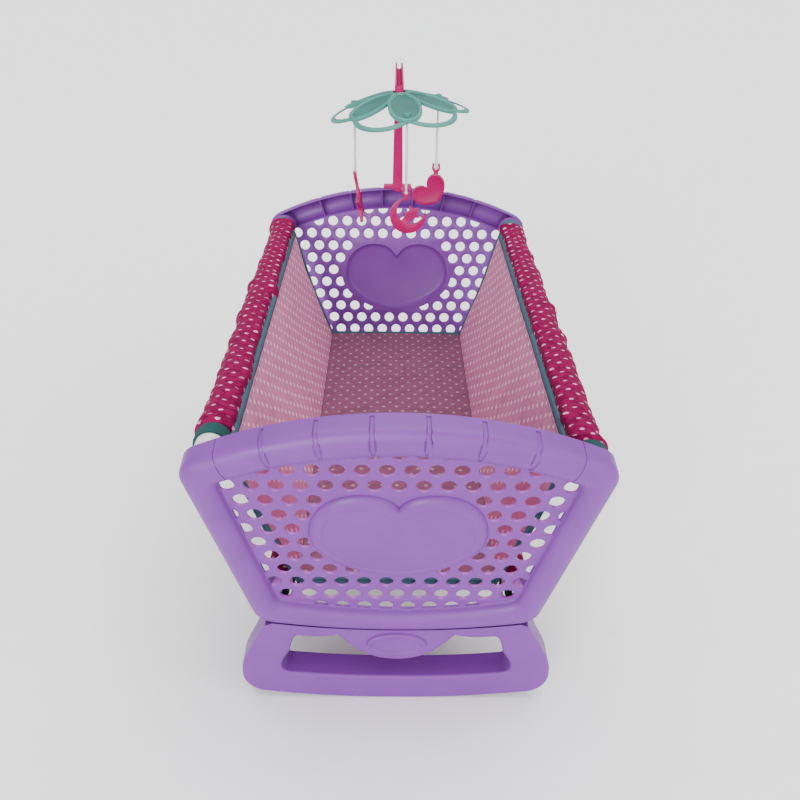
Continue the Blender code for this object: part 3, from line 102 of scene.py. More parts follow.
# Rockers
ROCKER_HEIGHT = 76.7 * MM
ROCKER_DEPTH = 25.0 * MM
ROCKER_SETBACK = 1.7 * MM
ROCKER_HALF_WIDTH = 133.0 * MM
ROCKER_TOP_HALF_WIDTH = 110.0 * MM
ROCKER_SHOULDER = 62.0 * MM
ROCKER_RADIUS = 760.0 * MM
ROCKER_CORNER = 21.0 * MM
ROCKER_FLAT = 14.0 * MM
ROCKER_BAR = 26.5 * MM
ROCKER_WALL = 2.8 * MM
ROCKER_SCREW_PLACE = 101.0 * MM
BOSS_RADIUS = 4.25 * MM
BOSS_BORE_RADIUS = 2.0 * MM
BOSS_HEIGHT = 15.0 * MM
SLOT_HALF_WIDTH = 100.5 * MM
SLOT_TOP_HALF_WIDTH = 91.0 * MM
SLOT_TOP = 73.0 * MM
SLOT_WAVE = 1.6 * MM
SLOT_CORNER = 9.0 * MM
LOBE_HALF_WIDTH = 49.5 * MM
LOBE_BOTTOM = 46.5 * MM
BADGE_HALF_WIDTH = 25.0 * MM
BADGE_HALF_HEIGHT = 11.5 * MM
BADGE_HEIGHT = 66.0 * MM

# Cloth
TUBE_WALL = 1.6 * MM
SLEEVE_THICKNESS = 1.4 * MM
SLEEVE_PAST = 7.0 * MM
RIGHT_SLEEVE_PAST = 8.0 * MM
RIGHT_CUFFS_PAST = (6.0 * MM, 12.0 * MM)
WALL_THICKNESS = 2.6 * MM
WALL_BOW = 2.5 * MM
WALL_HEM = 7.0 * MM
PIPING_SHOWN = 5.5 * MM
PIPING_THICKNESS = 2.9 * MM
BINDING_THICKNESS = 3.4 * MM
FLOOR_CROWN = 1.6 * MM
FLOOR_SEAMS = (137.0 * MM, 200.0 * MM)
SEAM_DEPTH = 0.6 * MM
LINING_SLACK = 0.4 * MM
FOOT_LEAN = 19.0 * MM
FOOT_LEAN_START = 90.0 * MM
FOOT_LEAN_RUN = 145.0 * MM

# Mobile
CLIP_WIDTH = 34.0 * MM
CLIP_WALL = 2.4 * MM
CLIP_LEG = 20.0 * MM
CLIP_LIP = 2.6 * MM
CLIP_TONGUE = 8.0 * MM
ARM_WIDTHS = (12.5 * MM, 8.5 * MM, 9.5 * MM)
ARM_WEB = 2.0 * MM
ARM_CHANNEL = 6.5 * MM
ARM_BEND = 12.0 * MM
ARM_TOP = 442.0 * MM
HUB_Y = 177.0 * MM
HUB_TOP = 432.0 * MM
HUB_TILT = radians(-3.5)
HUB_DIAMETER = 22.0 * MM
HUB_THICKNESS = 4.0 * MM
HUB_BOSS_DIAMETER = 9.5 * MM
HUB_BOSS_HEIGHT = 8.0 * MM
PIN_DIAMETER = 4.0 * MM
PIN_HEAD_RADIUS = 4.5 * MM
PIN_HEAD_HEIGHT = 2.5 * MM
PIN_FIT = 0.35 * MM
PETAL_COUNT = 6
FLOWER_TURN = radians(277.6)
FLOWER_REACH = 75.5 * MM
FLOWER_DROOP = 22.3 * MM
FLOWER_DROOP_POWER = 1.75
PETAL_START = 5.0 * MM
PETAL_REACH = 64.5 * MM
PETAL_HALF_WIDTH = 17.5 * MM
PETAL_SWELL_SHARE = 0.16
PETAL_THICKNESS = 2.2 * MM
PETAL_RIM = 2.6 * MM
PETAL_RIM_HEIGHT = 1.8 * MM
LOOP_BAR = 5.0 * MM
LOOP_THICKNESS = 2.0 * MM
LOOP_START = 60.0 * MM
LOOP_LEAN = radians(50.0)
NUB_RADIUS = 54.0 * MM
NUB_DIAMETER = 7.5 * MM
NUB_HEIGHT = 2.6 * MM
STRING_SLACK = 0.6 * MM
STRING_LENGTHS = {"star": 76.5 * MM, "moon": 77.0 * MM, "heart": 76.0 * MM}
CHARM_TURNS = {"star": radians(88.0), "moon": radians(4.0), "heart": radians(-4.0)}
STAR_LEAN = radians(-9.0)
CHARM_THICKNESS = 3.6 * MM
EYE_DIAMETER = 9.6 * MM
EYE_BORE = 5.2 * MM
EYE_SLOT = 3.2 * MM
EYE_STEM = 3.0 * MM
STAR_RADIUS = 25.0 * MM
STAR_WAIST_SHARE = 0.48
STAR_BORDER = 3.6 * MM
MOON_RADIUS = 19.5 * MM
MOON_BITE_SHARE = 0.78
MOON_STAR_RADIUS = 9.5 * MM
MOON_BRIDGE_SHARES = ((-0.5, -0.5), (-0.2, -0.8), (0.3, 0.0), (0.0, 0.2))
CHARM_HEART_HALF_WIDTH = 21.0 * MM
CHARM_HEART_POINT = 20.5 * MM
CHARM_HEART_WIDEST = 2.0 * MM
CHARM_HEART_BORDER = 2.6 * MM
CHARM_HEART_LOBE_SHARES = (0.2, 0.62, 1.0, 0.6)
CHARM_HEART_TAPER_SHARES = (1.0, 0.5, 0.4, 0.95)
CHARM_HEART_HANG = radians(40.0)

# Worked out from the frame
HALF_TURN = Matrix.Rotation(pi, 4, "Z")
SPACING_HALF = PANEL_SPACING / 2
ROW0_HEIGHT = ROCKER_HEIGHT + GAP + PANEL_DROP * cos(PANEL_LEAN)


def middle_of(node):
    low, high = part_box(node)
    return (low + high) / 2


CENTRING = Matrix.Translation((0, middle_of("left_upper_tube").y, 0))
FOOT_PLACE = Matrix.Translation((0, -SPACING_HALF, ROW0_HEIGHT)) @ Matrix.Rotation(PANEL_LEAN, 4, "X")
FOOTBOARD = CENTRING @ FOOT_PLACE
HEADBOARD = CENTRING @ HALF_TURN @ FOOT_PLACE
HUB = CENTRING @ Matrix.Translation((0, HUB_Y, HUB_TOP)) @ Matrix.Rotation(HUB_TILT, 4, "Y")


# Settings that a user would change

def length_of(name, description, default):
    return FloatProperty(name=name, description=description, default=default, unit="LENGTH")


class CradleSizes(bpy.types.PropertyGroup):
    """Sizes of the finish."""
    hole_diameter: length_of("Hole", "Diameter of the holes in the end panels", 12.0 * MM)
    rim_round: length_of("Hole rim", "Rounding of the rim of each hole", 0.9 * MM)
    edge_round: length_of("Edge", "Rounding of the moulded edges", 2.6 * MM)
    heart_height: length_of("Heart", "How far the pressed heart stands out", 5.5 * MM)
    gather: length_of("Gather", "Depth of the gathers in the sleeves", 1.5 * MM)
    sleeve_dot: length_of("Sleeve dot", "Radius of the printed dots on the sleeves", 1.55 * MM)
    lining_dot: length_of("Lining dot", "Radius of the printed dots on the lining", 1.95 * MM)
    thread: length_of("Thread", "Pitch of the woven threads", 0.7 * MM)
    stitch: length_of("Stitch", "Length of one sewn stitch", 2.6 * MM)
    string_diameter: length_of("String", "Diameter of the charm strings", 2.7 * MM)
    pad_steps: IntProperty(name="Pad frames", description="Frames of the cloth simulation of the floor pad",
        default=14)


def colour_of(name, default):
    return FloatVectorProperty(name=name, description=f"Colour of the {name.lower()}", subtype="COLOR",
        size=3, min=0.0, max=1.0, default=default)


class CradleColours(bpy.types.PropertyGroup):
    """Colours of the finish, linear."""
    lilac: colour_of("Lilac plastic", (0.152, 0.0315, 0.252))
    # The lighter lilac of the hole rims and hole walls is a painted highlight.
    rim: colour_of("Lilac hole rims, painted highlight", (0.300, 0.065, 0.370))
    hot_pink_cloth: colour_of("Sleeve cloth", (0.195, 0.0, 0.052))
    pale_pink_cloth: colour_of("Wall lining", (0.55, 0.185, 0.325))
    # The floor lining is the wall lining darkened, as painted shade of the deep floor.
    floor_cloth: colour_of("Floor lining with painted shade", (0.192, 0.064, 0.115))
    sleeve_dots: colour_of("Sleeve dots", (0.60, 0.27, 0.42))
    lining_dots: colour_of("Lining dots", (0.84, 0.50, 0.63))
    binding: colour_of("Binding tape", (0.050, 0.100, 0.130))
    cuff: colour_of("Cuff tape", (0.018, 0.060, 0.062))
    hot_pink_plastic: colour_of("Hot pink plastic", (0.33, 0.0, 0.085))
    sea_green: colour_of("Sea green plastic", (0.045, 0.19, 0.16))
    tube: colour_of("White tube", (0.60, 0.60, 0.57))
    string: colour_of("String", (0.60, 0.57, 0.54))


def sizes():
    return bpy.context.scene.cradle_sizes


def colours():
    return bpy.context.scene.cradle_colours


# Flat outlines

SQUARE = ((-1, -1), (1, -1), (1, 1), (-1, 1))


def flat(u, v):
    return Vector((u, v))


def circle(centre, radius, sides=48, turn=0.0):
    return [centre + radius * flat(cos(turn + 2 * pi * k / sides), sin(turn + 2 * pi * k / sides))
        for k in range(sides)]


def arc(centre, radius, start, end, steps):
    return [centre + radius * flat(cos(start + (end - start) * k / steps),
        sin(start + (end - start) * k / steps)) for k in range(steps)]


def bezier(start, handle, other_handle, end, steps):
    points = []
    for k in range(steps):
        t = k / steps
        points.append(start * (1 - t) ** 3 + handle * 3 * t * (1 - t) ** 2
            + other_handle * 3 * t * t * (1 - t) + end * t ** 3)
    return points


def mirrored(half):
    return half + [flat(-p.x, p.y) for p in reversed(half[1:-1])]


def turned_area(outline):
    return sum(a.x * b.y - b.x * a.y for a, b in zip(outline, outline[1:] + outline[:1])) / 2


def inset(outline, distance, longest_share=1.35):
    side = 1 if turned_area(outline) > 0 else -1
    moved = []
    for before, here, after in zip(outline[-1:] + outline[:-1], outline, outline[1:] + outline[:1]):
        first = (here - before).normalized()
        second = (after - here).normalized()
        normal = flat(-first.y - second.y, first.x + second.x).normalized() * side
        spread = max(abs(normal.dot(flat(-first.y, first.x))), 1 / longest_share)
        moved.append(here + normal * distance / spread)
    return moved


def clipped(outline, corner, inward):
    kept = []
    for here, after in zip(outline, outline[1:] + outline[:1]):
        depth = (here - corner).dot(inward)
        next_depth = (after - corner).dot(inward)
        if depth >= 0:
            kept.append(here)
        if depth * next_depth < 0:
            kept.append(here.lerp(after, depth / (depth - next_depth)))
    return kept


def heart_outline(half_width, notch, widest, point, lobe_shares, taper_shares, steps):
    bottom = widest - point
    near_x, near_y, far_x, far_y = lobe_shares
    out_x, out_y, low_x, low_y = taper_shares
    lift = (notch - point) * near_y
    lobe = bezier(flat(0, notch), flat(half_width * near_x, notch + lift),
        flat(half_width * far_x, notch + (notch - point) * far_y), flat(half_width, widest), steps)
    taper = bezier(flat(half_width, widest), flat(half_width * out_x, widest - bottom * out_y),
        flat(half_width * low_x, widest - bottom * low_y), flat(0, point), steps)
    return mirrored(lobe + taper + [flat(0, point)])


def star_outline(centre, radius, turn=0.0):
    points = []
    for k in range(10):
        reach = radius if k % 2 == 0 else radius * STAR_WAIST_SHARE
        angle = pi / 2 + turn + pi * k / 5
        points.append(centre + reach * flat(cos(angle), sin(angle)))
    return points


# Meshes

def built(name, maker):
    """A mesh from the faces that maker adds, pointing out."""
    work = bmesh.new()
    maker(work)
    bmesh.ops.recalc_face_normals(work, faces=work.faces)
    mesh = bpy.data.meshes.new(name)
    work.to_mesh(mesh)
    work.free()
    return mesh


def loft(name, rings, capped=True, round_trip=False):
    """A skin over rings of equal length, capped at both ends or joined end to end."""
    def maker(work):
        rows = [[work.verts.new(point) for point in ring] for ring in rings]
        pairs = list(zip(rows, rows[1:])) + ([(rows[-1], rows[0])] if round_trip else [])
        for low, high in pairs:
            for index in range(len(low)):
                after = (index + 1) % len(low)
                work.faces.new((low[index], low[after], high[after], high[index]))
        if capped and not round_trip:
            work.faces.new(rows[0])
            work.faces.new(rows[-1])
    return built(name, maker)


def lathed(name, profile, sides=48, centre=(0, 0), round_trip=False):
    """A solid round an upright axis, from pairs of radius and height."""
    rings = [[Vector((p.x, p.y, z)) for p in circle(flat(*centre), radius, sides)] for radius, z in profile]
    return loft(name, rings, round_trip=round_trip)


def upright(x, y, low, high, radius, sides=48):
    return lathed("bar", ((radius, low), (radius, high)), sides, (x, y))


def plate(name, outline, low, high):
    """A plate of one outline between two depths."""
    return loft(name, [[Vector((p.x, depth, p.y)) for p in outline] for depth in (low, high)])


def together(name, meshes):
    """Several meshes as one."""
    work = bmesh.new()
    for mesh in meshes:
        work.from_mesh(mesh)
    whole = bpy.data.meshes.new(name)
    work.to_mesh(whole)
    work.free()
    return whole


def moved(mesh, place):
    mesh.transform(place)
    return mesh


def helper(name, mesh):
    """An object that is used in the making and removed after it."""
    item = bpy.data.objects.new(name, mesh)
    bpy.context.scene.collection.objects.link(item)
    item.hide_render = True
    return item


def plain(item, extra=()):
    """The evaluated object as a plain mesh; the object and its helpers are removed."""
    bpy.context.view_layer.update()
    ready = item.evaluated_get(bpy.context.evaluated_depsgraph_get())
    mesh = bpy.data.meshes.new_from_object(ready)
    for old in (item, *extra):
        bpy.data.objects.remove(old, do_unlink=True)
    return mesh


def carved(name, mesh, steps):
    """The mesh after a list of Boolean steps, each an operation and a tool mesh."""
    body = helper(name, mesh)
    tools = []
    for operation, tool_mesh in steps:
        tool = helper(f"{name}_tool", tool_mesh)
        tools.append(tool)
        cut = body.modifiers.new("cut", "BOOLEAN")
        cut.operation = operation
        cut.solver = "EXACT"
        cut.object = tool
    return plain(body, tools)


def rounded(mesh, width, segments=2, angle=50.0):
    """The mesh with its sharp edges rounded."""
    body = helper(mesh.name, mesh)
    edge = body.modifiers.new("edge", "BEVEL")
    edge.width = width
    edge.segments = segments
    edge.limit_method = "ANGLE"
    edge.angle_limit = radians(angle)
    edge.harden_normals = False
    return plain(body)


def smooth(mesh, angle=38.0):
    mesh.shade_smooth()
    mesh.set_sharp_from_angle(angle=radians(angle))
    return mesh


def dressed(mesh, *materials):
    mesh.materials.clear()
    for material in materials:
        mesh.materials.append(material)
    return mesh


def piece(name, mesh, material, body="frame", nodes=()):
    """A finished piece on its body, in place of the nodes that it stands for."""
    made = bpy.data.objects.new(name, mesh)
    bpy.context.scene.collection.objects.link(made)
    if material:
        dressed(mesh, material)
    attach(made, body)
    if nodes:
        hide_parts(*nodes)
    return made


# Node trees

def linked(tree, kind, inputs=None, **settings):
    """A node with its settings, and its inputs set to values or joined to sockets."""
    node = tree.nodes.new(kind)
    for key, value in settings.items():
        setattr(node, key, value)
    for key, value in (inputs or {}).items():
        if isinstance(value, bpy.types.NodeSocket):
            tree.links.new(value, node.inputs[key])
        else:
            node.inputs[key].default_value = value
    return node


def result(tree, kind, inputs=None, **settings):
    """The first output of a node."""
    return linked(tree, kind, inputs, **settings).outputs[0]


def maths(tree, operation, *values):
    return result(tree, "ShaderNodeMath", dict(enumerate(values)), operation=operation)


def vector_maths(tree, operation, *values):
    return result(tree, "ShaderNodeVectorMath", dict(enumerate(values)), operation=operation)


def noise_of(tree, place, scale, **inputs):
    return result(tree, "ShaderNodeTexNoise", {"Vector": place, "Scale": scale, **inputs})


def ranged(tree, value, start, end, low=0.0, high=1.0, kind="LINEAR"):
    """A value on its way from start to end, as a value between low and high."""
    return result(tree, "ShaderNodeMapRange", {"Value": value, "From Min": start, "From Max": end,
        "To Min": low, "To Max": high}, interpolation_type=kind)


def mixed(tree, factor, low, high, blend="MIX"):
    return linked(tree, "ShaderNodeMix", {"Factor": factor, 6: low, 7: high}, data_type="RGBA",
        blend_type=blend).outputs[2]


def new_tree(name, kind, inputs, outputs):
    """A node group with named inputs (name, kind, default) and outputs (name, kind)."""
    tree = bpy.data.node_groups.new(name, kind)
    for label, socket_kind, default in inputs:
        socket = tree.interface.new_socket(label, in_out="INPUT", socket_type=socket_kind)
        if default is not None:
            socket.default_value = default
    for label, socket_kind in outputs:
        tree.interface.new_socket(label, in_out="OUTPUT", socket_type=socket_kind)
    return tree, tree.nodes.new("NodeGroupInput").outputs, tree.nodes.new("NodeGroupOutput").inputs


def grown(name, mesh, tree, values, extra=()):
    """The plain mesh that a geometry node tree makes of a mesh, with its inputs set by name."""
    body = helper(name, mesh)
    steps = body.modifiers.new("nodes", "NODES")
    steps.node_group = tree
    for socket in tree.interface.items_tree:
        if socket.in_out == "INPUT" and socket.name in values:
            steps[socket.identifier] = values[socket.name]
    return plain(body, extra)


GEOMETRY = "NodeSocketGeometry"
OBJECT = "NodeSocketObject"
FLOAT = "NodeSocketFloat"
VECTOR = "NodeSocketVector"
WHOLE = "NodeSocketInt"
MATERIAL = "NodeSocketMaterial"


def geometry_tree(name, *inputs):
    """A geometry node group with its own inputs between the geometry and the material."""
    return new_tree(name, "GeometryNodeTree", [("Geometry", GEOMETRY, None), *inputs,
        ("Material", MATERIAL, None)], [("Geometry", GEOMETRY)])


def shader_group(name, labels, *inputs):
    """A shader node group on a vector and its own inputs, with labelled outputs."""
    return new_tree(name, "ShaderNodeTree", [("Vector", VECTOR, None), *inputs],
        [(label, FLOAT) for label in labels])


def closed(tree, outputs, **sockets):
    """The tree with its outputs joined."""
    for label, socket in sockets.items():
        tree.links.new(socket, outputs[label])
    return tree


def finish_tree(tree, outputs, geometry, material):
    """Every geometry tree ends in real geometry with its material."""
    real = result(tree, "GeometryNodeRealizeInstances", {"Geometry": geometry})
    done = result(tree, "GeometryNodeSetMaterial", {"Geometry": real, "Material": material})
    return closed(tree, outputs, Geometry=done)


def geometry_of(tree, socket):
    return linked(tree, "GeometryNodeObjectInfo", {"Object": socket}).outputs["Geometry"]


def turned_copies(tree, points, source, euler, **inputs):
    """Copies of an object on points, turned by Euler angles."""
    turned = result(tree, "FunctionNodeEulerToRotation", {0: euler})
    return result(tree, "GeometryNodeInstanceOnPoints",
        {"Points": points, "Instance": geometry_of(tree, source), "Rotation": turned, **inputs})


def copies_tree():
    """Copies of one piece on points, each turned by the points' own turn attribute."""
    tree, given, outputs = geometry_tree("Copies on points", ("Piece", OBJECT, None), ("Scale", FLOAT, 1.0))
    turn = result(tree, "GeometryNodeInputNamedAttribute", {"Name": "turn"}, data_type="FLOAT_VECTOR")
    copies = turned_copies(tree, given["Geometry"], given["Piece"], turn, Scale=given["Scale"])
    return finish_tree(tree, outputs, copies, given["Material"])


def ring_tree():
    """One piece repeated round the Z axis, beside the mesh at its middle."""
    tree, given, outputs = geometry_tree("Round a hub", ("Piece", OBJECT, None), ("Count", WHOLE, 6),
        ("First Angle", FLOAT, 0.0))
    points = result(tree, "GeometryNodePoints", {"Count": given["Count"]})
    share = maths(tree, "DIVIDE", result(tree, "GeometryNodeInputIndex"), given["Count"])
    angle = maths(tree, "MULTIPLY_ADD", share, 2 * pi, given["First Angle"])
    euler = result(tree, "ShaderNodeCombineXYZ", {"Z": angle})
    copies = turned_copies(tree, points, given["Piece"], euler)
    both = linked(tree, "GeometryNodeJoinGeometry", {"Geometry": copies})
    tree.links.new(given["Geometry"], both.inputs["Geometry"])
    return finish_tree(tree, outputs, both.outputs[0], given["Material"])


def perforation_tree():
    """Round holes through a panel at points, kept to an allowed area."""
    tree, given, outputs = geometry_tree("Perforations", ("Centres", OBJECT, None), ("Area", OBJECT, None),
        ("Diameter", FLOAT, 12 * MM), ("Depth", FLOAT, 10 * MM), ("Sides", WHOLE, 28))
    radius = maths(tree, "MULTIPLY", given["Diameter"], 0.5)
    drill = result(tree, "GeometryNodeMeshCylinder",
        {"Vertices": given["Sides"], "Radius": radius, "Depth": given["Depth"]})
    centres = geometry_of(tree, given["Centres"])
    area = geometry_of(tree, given["Area"])
    drills = result(tree, "GeometryNodeInstanceOnPoints",
        {"Points": centres, "Instance": drill, "Rotation": (pi / 2, 0, 0)})
    drills = result(tree, "GeometryNodeRealizeInstances", {"Geometry": drills})
    kept = linked(tree, "GeometryNodeMeshBoolean", {"Mesh 2": drills}, operation="INTERSECT")
    tree.links.new(area, kept.inputs["Mesh 2"])
    cut = result(tree, "GeometryNodeMeshBoolean", {"Mesh 1": given["Geometry"], "Mesh 2": kept.outputs[0]},
        operation="DIFFERENCE")
    return finish_tree(tree, outputs, cut, given["Material"])


def stitch_tree():
    """A row of stitches along edges."""
    tree, given, outputs = geometry_tree("Stitches", ("Pitch", FLOAT, 3.6 * MM),
        ("Length", FLOAT, 2.6 * MM), ("Thickness", FLOAT, 0.5 * MM))
    line = result(tree, "GeometryNodeMeshToCurve", {0: given["Geometry"]})
    points = result(tree, "GeometryNodeResampleCurve", {"Curve": line, "Length": given["Pitch"]},
        mode="LENGTH")
    stitch = result(tree, "GeometryNodeMeshUVSphere", {"Segments": 8, "Rings": 5, "Radius": 0.5})
    tangent = result(tree, "GeometryNodeInputTangent")
    turned = result(tree, "FunctionNodeAlignRotationToVector", {"Vector": tangent}, axis="Y")
    size = result(tree, "ShaderNodeCombineXYZ", {"X": given["Thickness"], "Y": given["Length"],
        "Z": given["Thickness"]})
    copies = result(tree, "GeometryNodeInstanceOnPoints",
        {"Points": points, "Instance": stitch, "Rotation": turned, "Scale": size})
    return finish_tree(tree, outputs, copies, given["Material"])


def tree_named(name, maker):
    return bpy.data.node_groups.get(name) or maker()


def points_mesh(name, points, turns=None):
    mesh = bpy.data.meshes.new(name)
    mesh.from_pydata([tuple(p) for p in points], [], [])
    if turns:
        attribute = mesh.attributes.new("turn", "FLOAT_VECTOR", "POINT")
        attribute.data.foreach_set("vector", [value for turn in turns for value in turn])
    return mesh


def copied(name, mesh, points, turns, material=None, scale=1.0):
    """Copies of a mesh on points, by geometry nodes."""
    source = helper(f"{name}_one", mesh)
    return grown(name, points_mesh(name, points, turns), tree_named("Copies on points", copies_tree),
        {"Piece": source, "Scale": scale, "Material": material}, [source])


def stitched(name, lines, material, body="frame", thickness=0.55 * MM):
    """Sewn stitches along lines of points, one mesh."""
    mesh = bpy.data.meshes.new(name)
    verts = []
    edges = []
    for line in lines:
        first = len(verts)
        verts += [tuple(p) for p in line]
        edges += [(first + k, first + k + 1) for k in range(len(line) - 1)]
    mesh.from_pydata(verts, edges, [])
    length = sizes().stitch
    made = grown(name, mesh, tree_named("Stitches", stitch_tree),
        {"Pitch": length * 1.4, "Length": length, "Thickness": thickness, "Material": material})
    return piece(name, smooth(made, 80), None, body)


# Shader groups

def grain_group():
    """Moulded skin: a fine grain, a slow waviness and a mottled shade."""
    tree, given, outputs = shader_group("Moulded grain", ("Height", "Shade"), ("Grain Scale", FLOAT, 900.0),
        ("Wave Scale", FLOAT, 35.0), ("Wave Share", FLOAT, 0.6))
    fine = noise_of(tree, given["Vector"], given["Grain Scale"], Detail=2.0)
    slow = noise_of(tree, given["Vector"], given["Wave Scale"], Detail=1.0)
    height = result(tree, "ShaderNodeMix", {"Factor": given["Wave Share"], "A": fine, "B": slow})
    return closed(tree, outputs, Height=height, Shade=ranged(tree, slow, 0.3, 0.7))


def dots_group():
    """Printed dots on a staggered grid, from coordinates in metres."""
    tree, given, outputs = shader_group("Printed dots", ("Mask",), ("Pitch", VECTOR, (15 * MM, 13 * MM, 0)),
        ("Shape", VECTOR, (1, 1, 1)), ("Radius", FLOAT, 1.6 * MM), ("Softness", FLOAT, 0.3 * MM))
    cells = vector_maths(tree, "DIVIDE", given["Vector"], given["Pitch"])
    nearest = []
    for shift in (0.0, 0.5):
        spot = vector_maths(tree, "ADD", cells, (shift, shift, 0))
        spot = vector_maths(tree, "FRACTION", spot)
        spot = vector_maths(tree, "SUBTRACT", spot, (0.5, 0.5, 0))
        for size in (given["Pitch"], given["Shape"]):
            spot = vector_maths(tree, "MULTIPLY", spot, size)
        spot = linked(tree, "ShaderNodeVectorMath", {0: spot}, operation="LENGTH")
        nearest.append(spot.outputs["Value"])
    far = maths(tree, "MINIMUM", *nearest)
    ragged = noise_of(tree, given["Vector"], 900.0)
    ragged = maths(tree, "MULTIPLY_ADD", ragged, 0.5 * MM, -0.25 * MM)
    far = maths(tree, "ADD", far, ragged)
    outer = maths(tree, "ADD", given["Radius"], given["Softness"])
    return closed(tree, outputs, Mask=ranged(tree, far, outer, given["Radius"], kind="SMOOTHSTEP"))


def weave_group():
    """Plain weave: threads over and under, and a slub here and there."""
    tree, given, outputs = shader_group("Weave", ("Height", "Shade"), ("Thread", FLOAT, 0.7 * MM))
    turns = maths(tree, "DIVIDE", 2 * pi, given["Thread"])
    spot = result(tree, "ShaderNodeVectorMath", {0: given["Vector"], "Scale": turns}, operation="SCALE")
    waves = vector_maths(tree, "SINE", spot)
    parts = linked(tree, "ShaderNodeSeparateXYZ", {0: waves}).outputs
    over = maths(tree, "MULTIPLY", parts[0], parts[1])
    slub = noise_of(tree, given["Vector"], 160.0, Detail=4.0)
    height = maths(tree, "MULTIPLY_ADD", over, 0.25, slub)
    return closed(tree, outputs, Height=height, Shade=slub)


def crumple_group():
    """Small creases pressed into cloth, longer across than along."""
    tree, given, outputs = shader_group("Crumple", ("Height", "Crease"), ("Scale", FLOAT, 90.0),
        ("Stretch", VECTOR, (1.5, 0.6, 1.0)))
    slanted = result(tree, "ShaderNodeVectorRotate", {"Vector": given["Vector"], "Angle": 0.35},
        rotation_type="Z_AXIS")
    long = vector_maths(tree, "MULTIPLY", slanted, given["Stretch"])
    waves = noise_of(tree, long, given["Scale"], Detail=2.0, Distortion=0.6)
    ridge = maths(tree, "ABSOLUTE", maths(tree, "SUBTRACT", waves, 0.5))
    crease = ranged(tree, ridge, 0.0, 0.055, 1.0, 0.0, "SMOOTHSTEP")
    height = maths(tree, "MULTIPLY_ADD", crease, -0.45, waves)
    return closed(tree, outputs, Height=height, Crease=crease)


def new_material(name, values):
    """A material, its tree and its shader's inputs, some of them set."""
    material = bpy.data.materials.new(name)
    material.use_nodes = True
    inputs = material.node_tree.nodes["Principled BSDF"].inputs
    for key, value in values.items():
        inputs[key].default_value = value
    return material, material.node_tree, inputs


def grouped(tree, name, maker, inputs):
    """The outputs of a shader group, which is made where it is missing."""
    return linked(tree, "ShaderNodeGroup", inputs, node_tree=tree_named(name, maker)).outputs


def tinted(tree, colour, dark, light, factor):
    """A colour that runs from dark times itself to light times itself."""
    low, high = ((*(min(c * share, 1) for c in colour), 1) for share in (dark, light))
    return mixed(tree, factor, low, high)


def plastic(name, colour, roughness=0.36, grain=900.0, depth=0.12 * MM, metallic=0.0, mottle=0.05,
        shine=0.32):
    """Moulded plastic or metal with a fine grain, mottled colour and uneven gloss."""
    if name in bpy.data.materials:
        return bpy.data.materials[name]
    material, tree, shader = new_material(name, {"Roughness": roughness, "Metallic": metallic,
        "Specular IOR Level": shine})
    place = linked(tree, "ShaderNodeTexCoord").outputs["Object"]
    skin = grouped(tree, "Moulded grain", grain_group, {"Vector": place, "Grain Scale": grain})
    bump = result(tree, "ShaderNodeBump", {"Strength": 0.35, "Distance": depth, "Height": skin["Height"]})
    gloss = ranged(tree, skin["Shade"], 0.0, 1.0, roughness - 0.05, roughness + 0.06)
    tint = tinted(tree, colour, 1 - mottle, 1 + mottle, skin["Shade"])
    tree.links.new(tint, shader["Base Color"])
    tree.links.new(gloss, shader["Roughness"])
    tree.links.new(bump, shader["Normal"])
    return material


def cloth(name, colour, dots=None, pitch=(15 * MM, 13 * MM, 0), radius=1.6 * MM, crumple=0.0, scale=90.0,
        shape=(1, 1, 1), shade=None):
    """Woven cloth from the piece's own UV map, in metres, with printed dots if it has any.

    The shade colour multiplies in painted shade low down behind the footboard, where light comes through the
    cloth alone; creases get painted shade too.
    """
    if name in bpy.data.materials:
        return bpy.data.materials[name]
    material, tree, shader = new_material(name, {"Roughness": 0.86, "Specular IOR Level": 0.06,
        "Sheen Weight": 0.02, "Sheen Roughness": 0.5})
    source = linked(tree, "ShaderNodeTexCoord").outputs
    place = source["UV"]
    weave = grouped(tree, "Weave", weave_group, {"Vector": place, "Thread": sizes().thread})
    tint = tinted(tree, colour, 0.84, 1.14, weave["Shade"])
    if dots:
        printed = grouped(tree, "Printed dots", dots_group,
            {"Vector": place, "Pitch": pitch, "Radius": radius, "Shape": shape})
        tint = mixed(tree, printed["Mask"], tint, (*dots, 1))
    bump = result(tree, "ShaderNodeBump", {"Strength": 0.6, "Distance": 0.25 * MM,
        "Height": weave["Height"]})
    if crumple:
        creases = grouped(tree, "Crumple", crumple_group, {"Vector": place, "Scale": scale})
        bump = result(tree, "ShaderNodeBump", {"Strength": 0.9, "Distance": crumple,
            "Height": creases["Height"], "Normal": bump})
        # Creases are painted darker here, as painted shade.
        deep = maths(tree, "MULTIPLY", creases["Crease"], min(crumple / (2.2 * MM), 1))
        tint = mixed(tree, deep, tint, (*(c * 0.35 for c in colour), 1))
    # Painted shade: the lining darkens low down behind the footboard.
    if shade:
        spot = linked(tree, "ShaderNodeSeparateXYZ", {0: source["Object"]}).outputs
        behind = ranged(tree, spot["Y"], -0.11, -0.20)
        below = ranged(tree, spot["Z"], 0.245, 0.20)
        tint = mixed(tree, maths(tree, "MULTIPLY", behind, below), tint, (*shade, 1), "MULTIPLY")
    tree.links.new(tint, shader["Base Color"])
    tree.links.new(bump, shader["Normal"])
    return material


def lilac():
    return plastic("lilac_plastic_moulded", colours().lilac, 0.44)


def painted_highlight_lilac():
    """A lighter lilac on the hole rims and hole walls, a painted highlight."""
    return plastic("lilac_plastic_rim", colours().rim, 0.30)


def hot_pink_plastic():
    return plastic("hot_pink_plastic_moulded", colours().hot_pink_plastic, 0.30)


